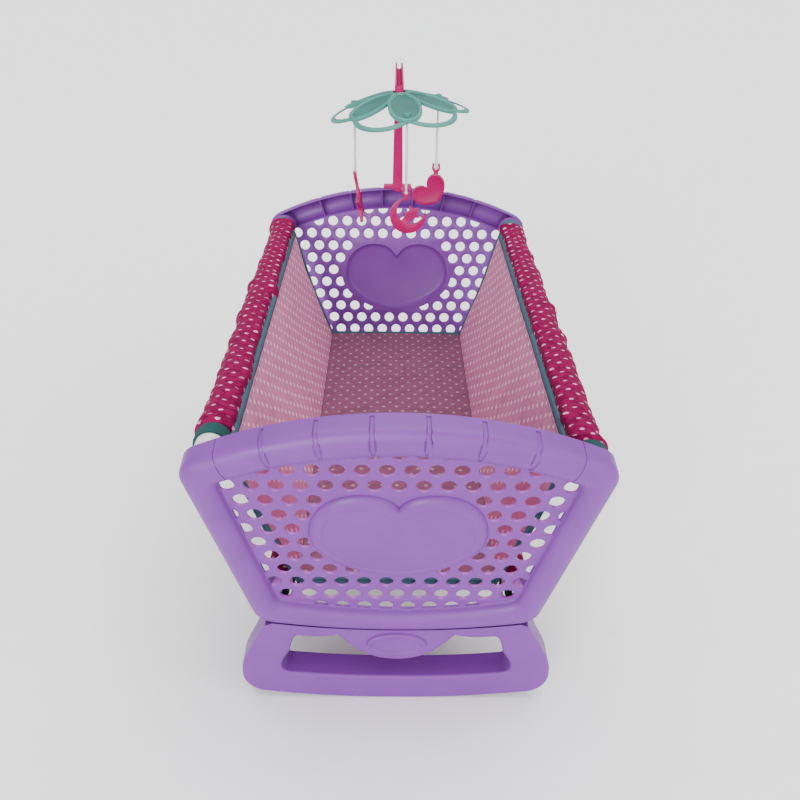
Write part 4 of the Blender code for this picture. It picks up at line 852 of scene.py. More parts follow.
SLEEVE_PRINT_PITCH = (15.3 * MM, 13.3 * MM, 0)
LINING_PRINT_PITCH = (18.7 * MM, 14.0 * MM, 0)


def sleeve_cloth():
    return cloth("sleeve_cloth", colours().hot_pink_cloth, colours().sleeve_dots, SLEEVE_PRINT_PITCH,
        sizes().sleeve_dot, 1.3 * MM, 105.0, (1.5, 0.92, 1))


def lining_cloth():
    return cloth("lining_cloth", colours().pale_pink_cloth, colours().lining_dots, LINING_PRINT_PITCH,
        # The shade colour is painted shade, low down behind the footboard.
        sizes().lining_dot, 0.4 * MM, 34.0, shade=(0.80, 0.50, 0.64))


# Same print as the wall lining, with its colour and dots darkened as painted shade of the deep floor.
def floor_cloth():
    return cloth("floor_cloth", colours().floor_cloth, tuple(c * 0.40 for c in colours().lining_dots),
        LINING_PRINT_PITCH, sizes().lining_dot * 0.8, 0.5 * MM, 30.0)


def binding_tape():
    return cloth("binding_tape", colours().binding)


def thread():
    return cloth("sewing_thread", tuple(c * 1.5 for c in colours().binding))


# End panels

def panel_point(point, depth):
    return Vector((point.x, -depth, point.y))


def corner_centre(arc_middle, arc_radius, half_width, corner, upper):
    along = flat(sin(SIDE_SLANT), cos(SIDE_SLANT))
    inward = flat(-cos(SIDE_SLANT), sin(SIDE_SLANT))
    start = flat(half_width, 0) + inward * corner - arc_middle
    middle = start.dot(along)
    reach = sqrt(middle ** 2 - start.length_squared + (arc_radius - corner) ** 2)
    return arc_middle + start + along * (reach - middle if upper else -reach - middle)


def arched_outline(rise, top_radius, half_width, drop, bottom_radius, top_corner, bottom_corner,
        top_steps=26, corner_steps=9, side_steps=10, bottom_steps=18):
    top_middle = flat(0, rise - top_radius)
    bottom_middle = flat(0, bottom_radius - drop)
    high = corner_centre(top_middle, top_radius, half_width, top_corner, True)
    low = corner_centre(bottom_middle, bottom_radius, half_width, bottom_corner, False)
    high_angle = atan2(high.y - top_middle.y, high.x)
    low_angle = atan2(low.y - bottom_middle.y, low.x)
    outward = flat(cos(-SIDE_SLANT), sin(-SIDE_SLANT))
    side_top = high + outward * top_corner
    side_bottom = low + outward * bottom_corner
    half = arc(top_middle, top_radius, pi / 2, high_angle, top_steps)
    half += arc(high, top_corner, high_angle, -SIDE_SLANT, corner_steps)
    half += [side_top.lerp(side_bottom, k / side_steps) for k in range(side_steps)]
    half += arc(low, bottom_corner, -SIDE_SLANT, low_angle, corner_steps)
    half += arc(bottom_middle, bottom_radius, low_angle, -pi / 2, bottom_steps)
    half.append(flat(0, -drop))
    return mirrored(half)


def rim_outline():
    return arched_outline(PANEL_RISE, TOP_ARC_RADIUS, PANEL_HALF_WIDTH, PANEL_DROP, BOTTOM_ARC_RADIUS,
        TOP_CORNER_RADIUS, BOTTOM_CORNER_RADIUS)


def web_outline():
    return arched_outline(PANEL_RISE - TOP_RAIL_WIDTH, TOP_ARC_RADIUS - TOP_RAIL_WIDTH,
        PANEL_HALF_WIDTH - SIDE_RAIL_WIDTH / cos(SIDE_SLANT), PANEL_DROP - BOTTOM_RAIL_WIDTH,
        WEB_BOTTOM_RADIUS, WEB_TOP_CORNER, WEB_BOTTOM_CORNER)


def panel_shell():
    """Web and rail as one skin with a small fillet between them, then its wall."""
    web = web_outline()
    rim = rim_outline()
    turns = 16
    fillet = 1.4 * MM
    rings = [[panel_point(p, depth) for p in inset(web, fillet * back)]
        for back, depth in ((1.0, 0), (0.55, fillet * 0.08), (0.2, fillet * 0.32))]
    for k in range(1, turns + 1):
        share = (1 - cos(pi * k / turns)) / 2
        bulge = RAIL_CROWN * sin(pi * k / turns) if k < turns else 0
        rings.append([panel_point(a.lerp(b, share), bulge) for a, b in zip(web, rim)])
    for share in (0.35, 0.7, 1.0):
        rings.append([panel_point(b, -RAIL_DEPTH * share) for b in rim])

    def maker(work):
        rows = [[work.verts.new(point) for point in ring] for ring in rings]
        work.faces.new(rows[0])
        for low, high in zip(rows, rows[1:]):
            for index in range(len(low)):
                after = (index + 1) % len(low)
                work.faces.new((low[index], low[after], high[after], high[index]))
    mesh = built("panel_shell", maker)
    if mesh.polygons[0].normal.y > 0:
        mesh.flip_normals()
    body = helper("panel_shell", mesh)
    wall = body.modifiers.new("wall", "SOLIDIFY")
    wall.thickness = PANEL_WALL
    wall.offset = -1
    wall.use_even_offset = True
    return plain(body)


HEART_PROFILE = ((0.0, -0.1), (0.01, 0.06), (0.05, 0.20), (0.12, 0.38), (0.22, 0.56), (0.34, 0.71),
    (0.48, 0.83), (0.64, 0.92), (0.80, 0.97), (0.90, 0.99), (0.94, 0.93), (0.99, 0.93), (1.04, 0.98))


def panel_heart():
    return heart_outline(HEART_HALF_WIDTH, -HEART_NOTCH, -HEART_WIDEST, -HEART_POINT, HEART_LOBE_SHARES,
        HEART_TAPER_SHARES, 26)


def heart_solid(name, outline, flank, height, base, profile=HEART_PROFILE):
    rings = []
    for inset_share, height_share in profile:
        ring = inset(outline, flank * inset_share, 1.2)
        rings.append([panel_point(p, base + height * height_share) for p in ring])
    return loft(name, rings)


def hole_centres():
    """Centres of the holes, without those of which the rail or the heart leaves too little."""
    edge = inset(web_outline(), HOLE_MARGIN)
    heart = panel_heart()
    edge_side = 1 if turned_area(edge) > 0 else -1
    heart_side = 1 if turned_area(heart) > 0 else -1
    radius = sizes().hole_diameter / 2
    found = []
    for row in range(HOLE_ROWS):
        shift = HOLE_PITCH / 2 if row % 2 else 0
        for column in range(-HOLE_COLUMNS, HOLE_COLUMNS + 1):
            centre = flat(column * HOLE_PITCH + shift, -row * HOLE_PITCH * sin(pi / 3))
            hole = circle(centre, radius, 12)
            for here, after in zip(edge, edge[1:] + edge[:1]):
                along = (after - here).normalized() * edge_side
                hole = clipped(hole, here, flat(-along.y, along.x)) if hole else hole
            inside = False
            nearest = None
            for here, after in zip(heart, heart[1:] + heart[:1]):
                run = after - here
                share = min(max((centre - here).dot(run) / run.length_squared, 0), 1)
                foot = here + run * share
                if nearest is None or (centre - foot).length < nearest[0]:
                    outward = flat(run.y, -run.x).normalized() * heart_side
                    nearest = ((centre - foot).length, foot, outward)
                if (here.y > centre.y) != (after.y > centre.y):
                    inside = inside != (here.x + run.x * (centre.y - here.y) / run.y > centre.x)
            if inside or not hole:
                continue
            hole = clipped(hole, nearest[1] + nearest[2] * HEART_MARGIN, nearest[2])
            if len(hole) > 2 and abs(turned_area(hole)) > pi * radius ** 2 * SMALLEST_HOLE_SHARE:
                found.append(centre)
    return found


def perforated(mesh, centres):
    """The panel with its holes, which go through the tubes' collars too, by geometry nodes."""
    deep = RAIL_DEPTH + DRILL_REACH
    web = inset(web_outline(), HOLE_MARGIN)
    around = inset(panel_heart(), -HEART_MARGIN)
    area = loft("area", [[panel_point(p, depth) for p in web] for depth in (-deep, deep)])
    kept_out = loft("kept_out", [[panel_point(p, depth) for p in around]
        for depth in (-2 * deep, 2 * deep)])
    area = helper("area", carved("area", area, [("DIFFERENCE", kept_out)]))
    spots = helper("centres", points_mesh("centres", [panel_point(c, -DRILL_MIDDLE) for c in centres]))
    return grown("panel", mesh, tree_named("Perforations", perforation_tree),
        {"Centres": spots, "Area": area, "Diameter": sizes().hole_diameter, "Depth": DRILL_DEPTH,
        "Material": lilac()}, [area, spots])


def round_rims(mesh, centres):
    """Round the rims of the holes on both faces of the web, and give rims and hole walls a lighter lilac as
    a painted highlight.
    """
    work = bmesh.new()
    work.from_mesh(mesh)
    bmesh.ops.remove_doubles(work, verts=work.verts, dist=0.01 * MM)
    reach = sizes().hole_diameter / 2 + 0.15 * MM
    chosen = []
    for edge in work.edges:
        if len(edge.link_faces) != 2:
            continue
        middle = (edge.verts[0].co + edge.verts[1].co) / 2
        depth = -middle.y
        if min(abs(depth), abs(depth + PANEL_WALL)) > 0.03 * MM:
            continue
        lean = sorted(abs(face.normal.y) for face in edge.link_faces)
        if lean[0] > 0.2 or lean[1] < 0.95:
            continue
        spot = flat(middle.x, middle.z)
        if any((spot - centre).length < reach for centre in centres):
            chosen.append(edge)
    made = bmesh.ops.bevel(work, geom=chosen, offset=sizes().rim_round, segments=2, profile=0.5,
        affect="EDGES", clamp_overlap=True)
    for face in work.faces:
        face.material_index = 0
    # Rims and hole walls take the second material, a lighter lilac painted highlight.
    for face in made["faces"]:
        face.material_index = 1
        for edge in face.edges:
            for wall in edge.link_faces:
                if abs(wall.normal.y) < 0.2:
                    wall.material_index = 1
    work.to_mesh(mesh)
    work.free()
    return mesh


def rail_arch(shrink, start, end, steps):
    """Points (height, depth) of the top rail's arched section at the middle, shrunk."""
    middle = PANEL_RISE - TOP_RAIL_WIDTH / 2
    return [(middle - (TOP_RAIL_WIDTH / 2 - shrink) * cos(start + (end - start) * k / steps),
        (RAIL_CROWN - shrink) * sin(start + (end - start) * k / steps)) for k in range(steps + 1)]


def section_plate(name, section, thickness, shares=None):
    """A plate across the middle of the top rail, of one thickness or a share of it at each point."""
    shares = shares or [1.0] * len(section)
    return loft(name, [[Vector((side * thickness / 2 * share, -depth, height))
        for share, (height, depth) in zip(shares, section)] for side in (-1, 1)])


def along_rail(name, mesh, places):
    """Copies of a plate along the top rail, turned about the middle of its arc."""
    centre = Vector((0, 0, PANEL_RISE - TOP_ARC_RADIUS))
    own = moved(mesh, Matrix.Translation(-centre))
    turns = [(0, sign * place / TOP_ARC_RADIUS, 0) for place in places for sign in (-1, 1)]
    return copied(name, own, [centre] * len(turns), turns)


def rail_rib():
    section = rail_arch(PANEL_WALL - 0.8 * MM, 0, pi, 12)
    section += [(section[-1][0], -RAIL_DEPTH + PANEL_WALL), (section[0][0], -PANEL_WALL)]
    return section_plate("rib", section, RIB_THICKNESS)


def rail_groove(start, depth, width, reach):
    """A groove with sloped sides from an angle on the rail's front to a reach behind its top."""
    inner = rail_arch(depth, start, pi, 14)
    inner.append((inner[-1][0], -reach))
    outer = rail_arch(-OVERRUN, start, pi, 14)
    outer.append((outer[-1][0], -reach))
    shares = [0.25, 0.45] + [0.6] * (len(inner) - 2)
    return section_plate("groove", inner + outer[::-1], width,
        shares + [1.5] * (len(outer) - 2) + [1.2, 0.6])


def panel_y(z, depth):
    return -(SPACING_HALF + (z - ROW0_HEIGHT) * (sin(PANEL_LEAN) / cos(PANEL_LEAN))
        + depth / cos(PANEL_LEAN))


def collar_meshes(shallow, deep, grow):
    """Bars along the tubes in the panel's frame, for the collars and their bores."""
    back = FOOT_PLACE.inverted()
    bars = []
    for node in ("left_upper_tube", "right_upper_tube", "left_lower_tube", "right_lower_tube"):
        low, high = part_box(node)
        centre = flat((low.x + high.x) / 2, (low.z + high.z) / 2)
        radius = (high.x - low.x) / 2 + grow
        bars.append(loft("bar", [[back @ Vector((p.x, panel_y(p.y, depth), p.y))
            for p in circle(centre, radius)] for depth in (shallow, deep)]))
    return together("bars", bars)


def boss_meshes(radius, low, high):
    """Bars up from the underside of the panel, where the rocker's screws go in."""
    bars = []
    for across in (-ROCKER_SCREW_PLACE, 0, ROCKER_SCREW_PLACE):
        base = -PANEL_DROP + BOTTOM_ARC_RADIUS - sqrt(BOTTOM_ARC_RADIUS ** 2 - across ** 2)
        bars.append(upright(across, RAIL_DEPTH / 2, base + low, base + high, radius, 24))
    return together("bosses", bars)


def panel_mesh():
    height = sizes().heart_height
    heart = panel_heart()
    centres = hole_centres()
    hollow = inset(heart, PANEL_WALL + 0.8 * MM)
    hollow_profile = [(a, b) for a, b in HEART_PROFILE if a < 0.9]
    slot = rail_groove(0.24 * pi, 1.0 * MM, 4.0 * MM, 12 * MM)
    seam = rail_groove(0.03 * pi, 0.5 * MM, 0.9 * MM, 14 * MM)
    steps = [("UNION", heart_solid("heart", heart, HEART_FLANK, height, 0)),
             ("DIFFERENCE", heart_solid("hollow", hollow, HEART_FLANK - PANEL_WALL, height + OVERRUN,
                                        -PANEL_WALL - OVERRUN, hollow_profile)),
             ("UNION", along_rail("ribs", rail_rib(), RIB_PLACES)),
             ("DIFFERENCE", along_rail("slots", slot, RIB_PLACES)),
             ("DIFFERENCE", along_rail("seams", seam, SEAM_PLACES)),
             ("UNION", collar_meshes(-RAIL_DEPTH, -PANEL_WALL / 2, GAP + COLLAR_WALL)),
             ("UNION", boss_meshes(BOSS_RADIUS, 0.8 * MM, BOSS_HEIGHT)),
             ("DIFFERENCE", boss_meshes(BOSS_BORE_RADIUS, -OVERRUN, BOSS_HEIGHT + OVERRUN)),
             ("DIFFERENCE", collar_meshes(-RAIL_DEPTH - OVERRUN, -PANEL_WALL - GAP, GAP))]
    # The second material is the lighter lilac of the hole rims, a painted highlight.
    mesh = dressed(perforated(carved("panel", panel_shell(), steps), centres), lilac(), painted_highlight_lilac())
    return smooth(round_rims(mesh, centres), 40)


class CRADLE_OT_end_panels(bpy.types.Operator):
    """Make the perforated footboard and headboard"""
    bl_idname = "cradle.end_panels"
    bl_label = "End Panels"

    def execute(self, context):
        mesh = panel_mesh()
        for name, place in (("footboard", FOOTBOARD), ("headboard", HEADBOARD)):
            piece(f"{name}_moulding", moved(mesh.copy(), place), None, "frame", [f"{name}_panel"])
        return {"FINISHED"}


# Rockers

def rocker_front():
    crown_height = -PANEL_DROP + BOTTOM_RAIL_WIDTH / 2
    return -(SPACING_HALF + crown_height * sin(PANEL_LEAN) + RAIL_CROWN * cos(PANEL_LEAN) - ROCKER_SETBACK)


def rocker_top(x, y):
    lean = sin(PANEL_LEAN) / cos(PANEL_LEAN)
    height = -PANEL_DROP + BOTTOM_ARC_RADIUS - sqrt(BOTTOM_ARC_RADIUS ** 2 - x * x)
    tilt = (y + SPACING_HALF + height * sin(PANEL_LEAN)) * lean
    return ROW0_HEIGHT + height * cos(PANEL_LEAN) + tilt - GAP / cos(PANEL_LEAN)


def floor_arc(x):
    past = max(abs(x) - ROCKER_FLAT / 2, 0)
    return ROCKER_RADIUS - sqrt(ROCKER_RADIUS ** 2 - past ** 2)


def rocker_lip(x, y):
    """How far the rocker's front rises to close on the underside of the panel's half-round rail."""
    height = -PANEL_DROP + BOTTOM_ARC_RADIUS - sqrt(BOTTOM_ARC_RADIUS ** 2 - x * x)
    proud = -(y + SPACING_HALF + height * sin(PANEL_LEAN)) * cos(PANEL_LEAN)
    rise = 0.0
    for _ in range(24):
        share = min(max((proud - rise * sin(PANEL_LEAN)) / RAIL_CROWN, 0), 1)
        rise = (rise + BOTTOM_RAIL_WIDTH / 2 * (1 - sqrt(1 - share * share))) / 2
    return max(rise - 0.2 * MM, 0) * min(max((ROCKER_TOP_HALF_WIDTH - x) / (4 * MM), 0), 1)


def rocker_outline(y):
    half = []
    for k in range(19):
        x = ROCKER_TOP_HALF_WIDTH * k / 18
        half.append(flat(x, rocker_top(x, y) + rocker_lip(x, y)))
    corner_x = ROCKER_HALF_WIDTH - ROCKER_CORNER
    corner_z = floor_arc(corner_x) + ROCKER_CORNER
    half += bezier(flat(ROCKER_HALF_WIDTH - ROCKER_CORNER / 2, ROCKER_SHOULDER),
        flat(ROCKER_HALF_WIDTH, ROCKER_SHOULDER - ROCKER_CORNER),
        flat(ROCKER_HALF_WIDTH, corner_z + ROCKER_CORNER / 2), flat(ROCKER_HALF_WIDTH, corner_z), 10)
    half += arc(flat(corner_x, corner_z), ROCKER_CORNER, 0, -pi / 2, 12)
    for k in range(25):
        x = corner_x + (ROCKER_FLAT / 2 - corner_x) * k / 24
        half.append(flat(x, floor_arc(x)))
    half.append(flat(0, 0))
    return mirrored(half)


def slot_outline():
    lobe_edge = flat(LOBE_HALF_WIDTH, SLOT_TOP + SLOT_WAVE)
    half = bezier(flat(0, LOBE_BOTTOM), flat(LOBE_HALF_WIDTH / 2, LOBE_BOTTOM),
        flat(LOBE_HALF_WIDTH * 3 / 4, LOBE_BOTTOM + (SLOT_TOP - LOBE_BOTTOM) / 2), lobe_edge, 16)
    end_top = flat(SLOT_TOP_HALF_WIDTH - SLOT_CORNER, SLOT_TOP)
    half += bezier(lobe_edge, lobe_edge.lerp(end_top, 1 / 3) - flat(0, SLOT_WAVE * 2),
        lobe_edge.lerp(end_top, 2 / 3) - flat(0, SLOT_WAVE), end_top, 12)
    side_top = flat(SLOT_TOP_HALF_WIDTH, SLOT_TOP - SLOT_CORNER * 2)
    half += bezier(end_top, end_top + flat(SLOT_CORNER / 2, 0),
        flat(SLOT_TOP_HALF_WIDTH - SLOT_CORNER / 4, SLOT_TOP - SLOT_CORNER / 2), side_top, 8)
    bar_end = ROCKER_BAR + floor_arc(SLOT_HALF_WIDTH)
    floor_end = SLOT_HALF_WIDTH - SLOT_CORNER
    half += bezier(side_top, flat(SLOT_HALF_WIDTH, bar_end + SLOT_CORNER), flat(SLOT_HALF_WIDTH, bar_end),
        flat(floor_end, ROCKER_BAR + floor_arc(floor_end)), 14)
    for k in range(19):
        x = floor_end * (1 - k / 18)
        half.append(flat(x, ROCKER_BAR + floor_arc(x)))
    return mirrored(half)


def rocker_mesh():
    front = rocker_front()
    back = front + ROCKER_DEPTH
    slot = slot_outline()
    past = back + OVERRUN
    round_by = sizes().edge_round

    def rounded_slice(name, outline, sign):
        """A slice with its front edge rounded, but sharp where it meets the panel above."""
        rings = []
        for k in range(6, -1, -1):
            angle = pi / 2 * k / 6
            y = front + round_by * (1 - sin(angle))
            inward = round_by * (1 - cos(angle))
            ring = []
            for whole, less in zip(outline(y), inset(outline(y), sign * inward)):
                share = min(max((ROCKER_SHOULDER + 8 * MM - whole.y) / (12 * MM), 0.08), 1)
                spot = whole.lerp(less, share if sign > 0 else 1)
                ring.append(Vector((spot.x, y, spot.y)))
            rings.append(ring)
        ends = [past] if sign < 0 else [front + round_by + k * 1.5 * MM for k in range(1, 5)] + [back]
        return loft(name, rings + [[Vector((p.x, end, p.y)) for p in outline(end)] for end in ends])
    body = rounded_slice("rocker", rocker_outline, 1)
    pocket = loft("pocket", [[Vector((p.x, y, p.y)) for p in inset(rocker_outline(y), ROCKER_WALL)]
        for y in (front + ROCKER_WALL, past)])
    island = plate("island", inset(slot, -ROCKER_WALL), front, past + OVERRUN)
    pocket = carved("pocket", pocket, [("DIFFERENCE", island)])
    hole = rounded_slice("slot", lambda y: slot, -1)
    mouth = plate("mouth", inset(slot, -round_by), front - OVERRUN, front + 0.01 * MM)
    badge = [flat(BADGE_HALF_WIDTH * cos(t), BADGE_HEIGHT + BADGE_HALF_HEIGHT * sin(t))
        for t in (2 * pi * k / 64 for k in range(64))]
    proud = ((-0.6, 0.6), (-0.3, -0.3), (0.1, -1.2), (0.6, -1.9), (1.3, -2.3), (2.2, -2.3), (2.9, -1.9),
        (3.3, -1.2), (3.8, -0.7), (4.6, -0.6))
    boss = loft("badge", [[Vector((p.x, front + depth * MM, p.y)) for p in inset(badge, edge * MM)]
        for edge, depth in proud])
    steps = [("DIFFERENCE", pocket), ("DIFFERENCE", hole), ("DIFFERENCE", mouth), ("UNION", boss)]
    return smooth(carved("rocker", body, steps), 40)


class CRADLE_OT_rockers(bpy.types.Operator):
    """Make the rocker under each end panel"""
    bl_idname = "cradle.rockers"
    bl_label = "Rockers"

    def execute(self, context):
        mesh = rocker_mesh()
        for name, place in (("footboard", CENTRING), ("headboard", CENTRING @ HALF_TURN)):
            piece(f"{name}_rocker_moulding", moved(mesh.copy(), place), lilac(), "frame",
                [f"{name}_rocker"])
        return {"FINISHED"}


# Tubes and screws

def pipe(centre, outer, inner, low, high, sides=48, steps=1, swell=None):
    """A pipe along Y; swell adds to the outer radius at (y, angle)."""
    def ring(radius, y, out):
        points = []
        for k in range(sides):
            angle = 2 * pi * k / sides
            reach = radius + (swell(y, angle) if out and swell else 0)
            points.append(Vector((centre.x + reach * cos(angle), y, centre.y + reach * sin(angle))))
        return points
    rings = [ring(outer, low + (high - low) * k / steps, True) for k in range(steps + 1)]
    rings += [ring(inner, high + (low - high) * k / steps, False) for k in range(steps + 1)]
    return loft("pipe", rings, round_trip=True)


TUBES = ("left_upper_tube", "right_upper_tube", "left_lower_tube", "right_lower_tube")


def tube_size(node):
    low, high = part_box(node)
    return flat((low.x + high.x) / 2, (low.z + high.z) / 2), (high.x - low.x) / 2, low.y, high.y


class CRADLE_OT_tubes(bpy.types.Operator):
    """Make the tubes that join the end panels"""
    bl_idname = "cradle.tubes"
    bl_label = "Tubes"

    def execute(self, context):
        white = plastic("white_tube_plastic", colours().tube, 0.32, 500.0)
        # The dark inside of each tube is painted shade in the bore.
        bore = plastic("tube_bore_shade", (0.045, 0.045, 0.05), 0.6, 500.0)
        for node in TUBES:
            centre, radius, low, high = tube_size(node)
            mesh = smooth(rounded(pipe(centre, radius, radius - TUBE_WALL, low, high), FINE_ROUND))
            for face in dressed(mesh, white, bore).polygons:
                out = flat(face.center.x, face.center.z) - centre
                face.material_index = 1 if out.dot(flat(face.normal.x, face.normal.z)) < 0 else 0
            piece(f"{node}_plain", mesh, None, "frame", [node])
        return {"FINISHED"}


SCREW_LENGTHS = {"tube": 8.0 * MM, "rocker": 15.0 * MM}
SCREW_HEAD_RADIUS = 3.3 * MM
SCREW_HEAD_HEIGHT = 2.2 * MM
SCREW_SHANK_RADIUS = 1.5 * MM


def screw_mesh(length):
    """A pan-head screw with a cross recess and a rolled thread, head down."""
    head, shank = SCREW_HEAD_RADIUS, SCREW_SHANK_RADIUS
    profile = [(head * 0.25, -SCREW_HEAD_HEIGHT), (head * 0.62, -2.1 * MM), (head * 0.88, -1.6 * MM),
        (head, -0.9 * MM), (head, 0), (shank, 0)]
    turns = int(length / MM)
    for k in range(turns):
        z = length * 0.88 * (k + 0.5) / turns
        profile += [(shank * 0.78, z - 0.2 * MM), (shank, z)]
    profile += [(shank * 0.7, length * 0.92), (shank * 0.15, length)]
    body = lathed("screw", profile, 16)
    bars = []
    for u, v in ((2.0, 0.45), (0.45, 2.0)):
        outline = [flat(x * u * MM, y * v * MM) for x, y in SQUARE]
        bars.append(loft("bar", [[Vector((p.x * s, p.y * s, z)) for p in outline]
            for z, s in ((-3 * MM, 1), (-0.9 * MM, 0.6))]))
    return smooth(carved("screw", body, [("DIFFERENCE", bars[0]), ("DIFFERENCE", bars[1])]), 35)


class CRADLE_OT_screws(bpy.types.Operator):
    """Make the screws of the tubes and the rockers"""
    bl_idname = "cradle.screws"
    bl_label = "Screws"

    def execute(self, context):
        steel = plastic("zinc_plated_steel", (0.62, 0.62, 0.64), 0.34, 700.0, 0.05 * MM, 1.0)
        found = {"tube": [], "rocker": []}
        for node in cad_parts:
            if node.endswith("_screw"):
                kind = "tube" if "_tube_" in node else "rocker"
                found[kind].append(node)
        for kind, length in SCREW_LENGTHS.items():
            points = []
            turns = []
            for node in sorted(found[kind]):
                low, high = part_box(node)
                lean = 0.0
                if kind == "rocker":
                    lean = PANEL_LEAN if (low.y + high.y) < 0 else -PANEL_LEAN
                along = Vector((0, -sin(lean), cos(lean)))
                middle = (low + high) / 2
                points.append(middle - along * (length - SCREW_HEAD_HEIGHT) / 2)
                turns.append((lean, 0, 0))
            mesh = copied(f"{kind}_screws", screw_mesh(length), points, turns, steel)
            piece(f"{kind}_screws", mesh, None, "frame", sorted(found[kind]))
        return {"FINISHED"}


# Cloth

def unwrapped(mesh, rule):
    """The mesh with a UV map in metres; rule takes a point, its face's centre and normal."""
    layer = mesh.uv_layers.new(name="cloth")
    for face in mesh.polygons:
        for corner in face.loop_indices:
            point = mesh.vertices[mesh.loops[corner].vertex_index].co
            layer.data[corner].uv = rule(point, face.center, face.normal)
    return mesh


def round_rule(centre, radius, seam):
    """UV along and round a tube, with its seam at an angle."""
    def rule(point, middle, normal):
        base = (atan2(middle.z - centre.y, middle.x - centre.x) - seam) % (2 * pi)
        here = (atan2(point.z - centre.y, point.x - centre.x) - seam) % (2 * pi)
        step = (here - base + pi) % (2 * pi) - pi
        return point.y, (base + step) * radius
    return rule


def wall_line():
    """Top and bottom of the right wall's outer face, and the normal into the cradle."""
    top, top_radius = tube_size("right_upper_tube")[:2]
    low, low_radius = tube_size("right_lower_tube")[:2]
    skin = GAP + SLEEVE_THICKNESS + GAP
    along = (top - low).normalized()
    narrowing = top_radius - low_radius
    lean = -atan2(narrowing, sqrt((top - low).length_squared - narrowing ** 2))
    normal = flat(-along.y, along.x) * cos(lean) + along * sin(lean)
    hem = flat(normal.y, -normal.x) * WALL_HEM
    return top + normal * (top_radius + skin), low + normal * (low_radius + skin) - hem, normal


# Slack folds of the upper sleeves: side, place along, turn from the top outwards, height, width
SLEEVE_TUCKS = ((-1, 42 * MM, 1.3, 3.4 * MM, 12 * MM), (-1, 36 * MM, -1.3, 4.4 * MM, 9 * MM),
                (-1, -38 * MM, 1.0, 1.8 * MM, 14 * MM), (-1, -150 * MM, -1.1, 1.6 * MM, 18 * MM),
                (1, 9 * MM, 1.2, 2.8 * MM, 5 * MM), (1, -57 * MM, 1.3, 2.4 * MM, 4 * MM),
                (1, -20 * MM, -1.0, 1.8 * MM, 15 * MM), (-1, 120 * MM, -0.9, 1.2 * MM, 16 * MM))


def sleeve_swell(centre, radius, low, high, seed, strong):
    """How far the sleeve stands out at a place: slanting gathers, rolls at the cuffs, slack folds."""
    normal = wall_line()[2]
    side = 1 if centre.x > 0 else -1
    towards_wall = atan2(normal.y, normal.x * side)
    depth = sizes().gather * (1.0 if strong else 0.4)

    def swell(y, angle):
        around = ((angle + pi / 2) % (2 * pi)) * radius
        slant = y + side * 0.45 * around
        slow = noise.noise((slant * 30, around * 22, seed + 2))
        fold = noise.noise((slant * 88, around * 24, seed))
        crease = max(1 - abs(noise.noise((slant * 52, around * 17, seed + 5))) * 3.2, 0)
        out = depth * (0.9 * slow + 0.7 * fold + 0.45 - 0.8 * crease)
        end = min(y - low, high - y)
        if strong:
            out += 2.5 * MM * exp(-end / (11 * MM)) * (0.5 + 0.5 * cos(2 * pi * end / (6.5 * MM) + pi))
            inward = (angle - towards_wall + side * 0.42 + pi) % (2 * pi) - pi
            wave = 0.75 + 1.0 * noise.noise((y * 54, seed, 0)) + 0.5 * noise.noise((y * 120, seed, 3))
            out += 3.4 * MM * exp(-(inward / 0.34) ** 2) * max(wave, 0.15)
            for tuck_side, place, turn, height, width in SLEEVE_TUCKS:
                if tuck_side == side:
                    away = (angle - (pi / 2 - side * turn) + pi) % (2 * pi) - pi
                    out += height * exp(-((slant - around * 0.2 * side - place) / width) ** 2
                        - (away / 0.9) ** 2)
        return max(out, -0.6 * MM) * min(end / (3 * MM), 1)
    return swell


def tape_ring(centre, outer, inner, low, high, seed):
    """A tape wound round a tube, a little uneven, with soft edges."""
    def swell(y, angle):
        share = (y - low) / (high - low)
        soft = -0.5 * MM * (2 * share - 1) ** 8
        return soft + 0.16 * MM * noise.noise((y * 240, angle * 2.5, seed))
    mesh = pipe(centre, outer, inner, low, high, 56, 12, swell)
    return unwrapped(smooth(mesh, 60), round_rule(centre, outer, -pi / 2))


class CRADLE_OT_sleeves(bpy.types.Operator):
    """Make the gathered cloth sleeves and their cuffs round the tubes"""
    bl_idname = "cradle.sleeves"
    bl_label = "Sleeves"

    def execute(self, context):
        cuff_finish = cloth("cuff_tape", colours().cuff)
        for seed, node in enumerate(TUBES):
            side, level = node.split("_")[:2]
            upper = level == "upper"
            centre, tube_radius = tube_size(node)[:2]
            low, high = (corner.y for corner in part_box(f"{side}_{level}_sleeve"))
            if upper:
                high += SLEEVE_PAST
                low -= RIGHT_SLEEVE_PAST if side == "right" else 0
            else:
                low -= SLEEVE_PAST
            outer = tube_radius + GAP + SLEEVE_THICKNESS
            swell = sleeve_swell(centre, outer, low, high, seed * 11.0, upper)
            mesh = pipe(centre, outer, tube_radius + GAP, low, high, 80, 330 if upper else 90, swell)
            mesh = unwrapped(smooth(mesh, 70), round_rule(centre, outer, -pi / 2))
            sleeve = piece(f"{side}_{level}_sleeve_cloth", mesh, sleeve_cloth(), "frame",
                [f"{side}_{level}_sleeve"])
            for end in ("foot", "head") if upper else ():
                cuff_low, cuff_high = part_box(f"{side}_{end}_cuff")
                near, far = (cuff_low.y, low - GAP) if end == "foot" else (high + GAP, cuff_high.y)
                if side == "right" and end == "foot":
                    near -= RIGHT_CUFFS_PAST[0]
                elif side == "right":
                    far += RIGHT_CUFFS_PAST[1]
                ring = tape_ring(centre, (cuff_high.x - cuff_low.x) / 2, tube_radius + GAP, near, far,
                    seed + 3.3)
                finish = cuff_finish if end == "foot" else binding_tape()
                piece(f"{side}_{end}_cuff_tape", ring, finish, "frame", [f"{side}_{end}_cuff"])
        return {"FINISHED"}


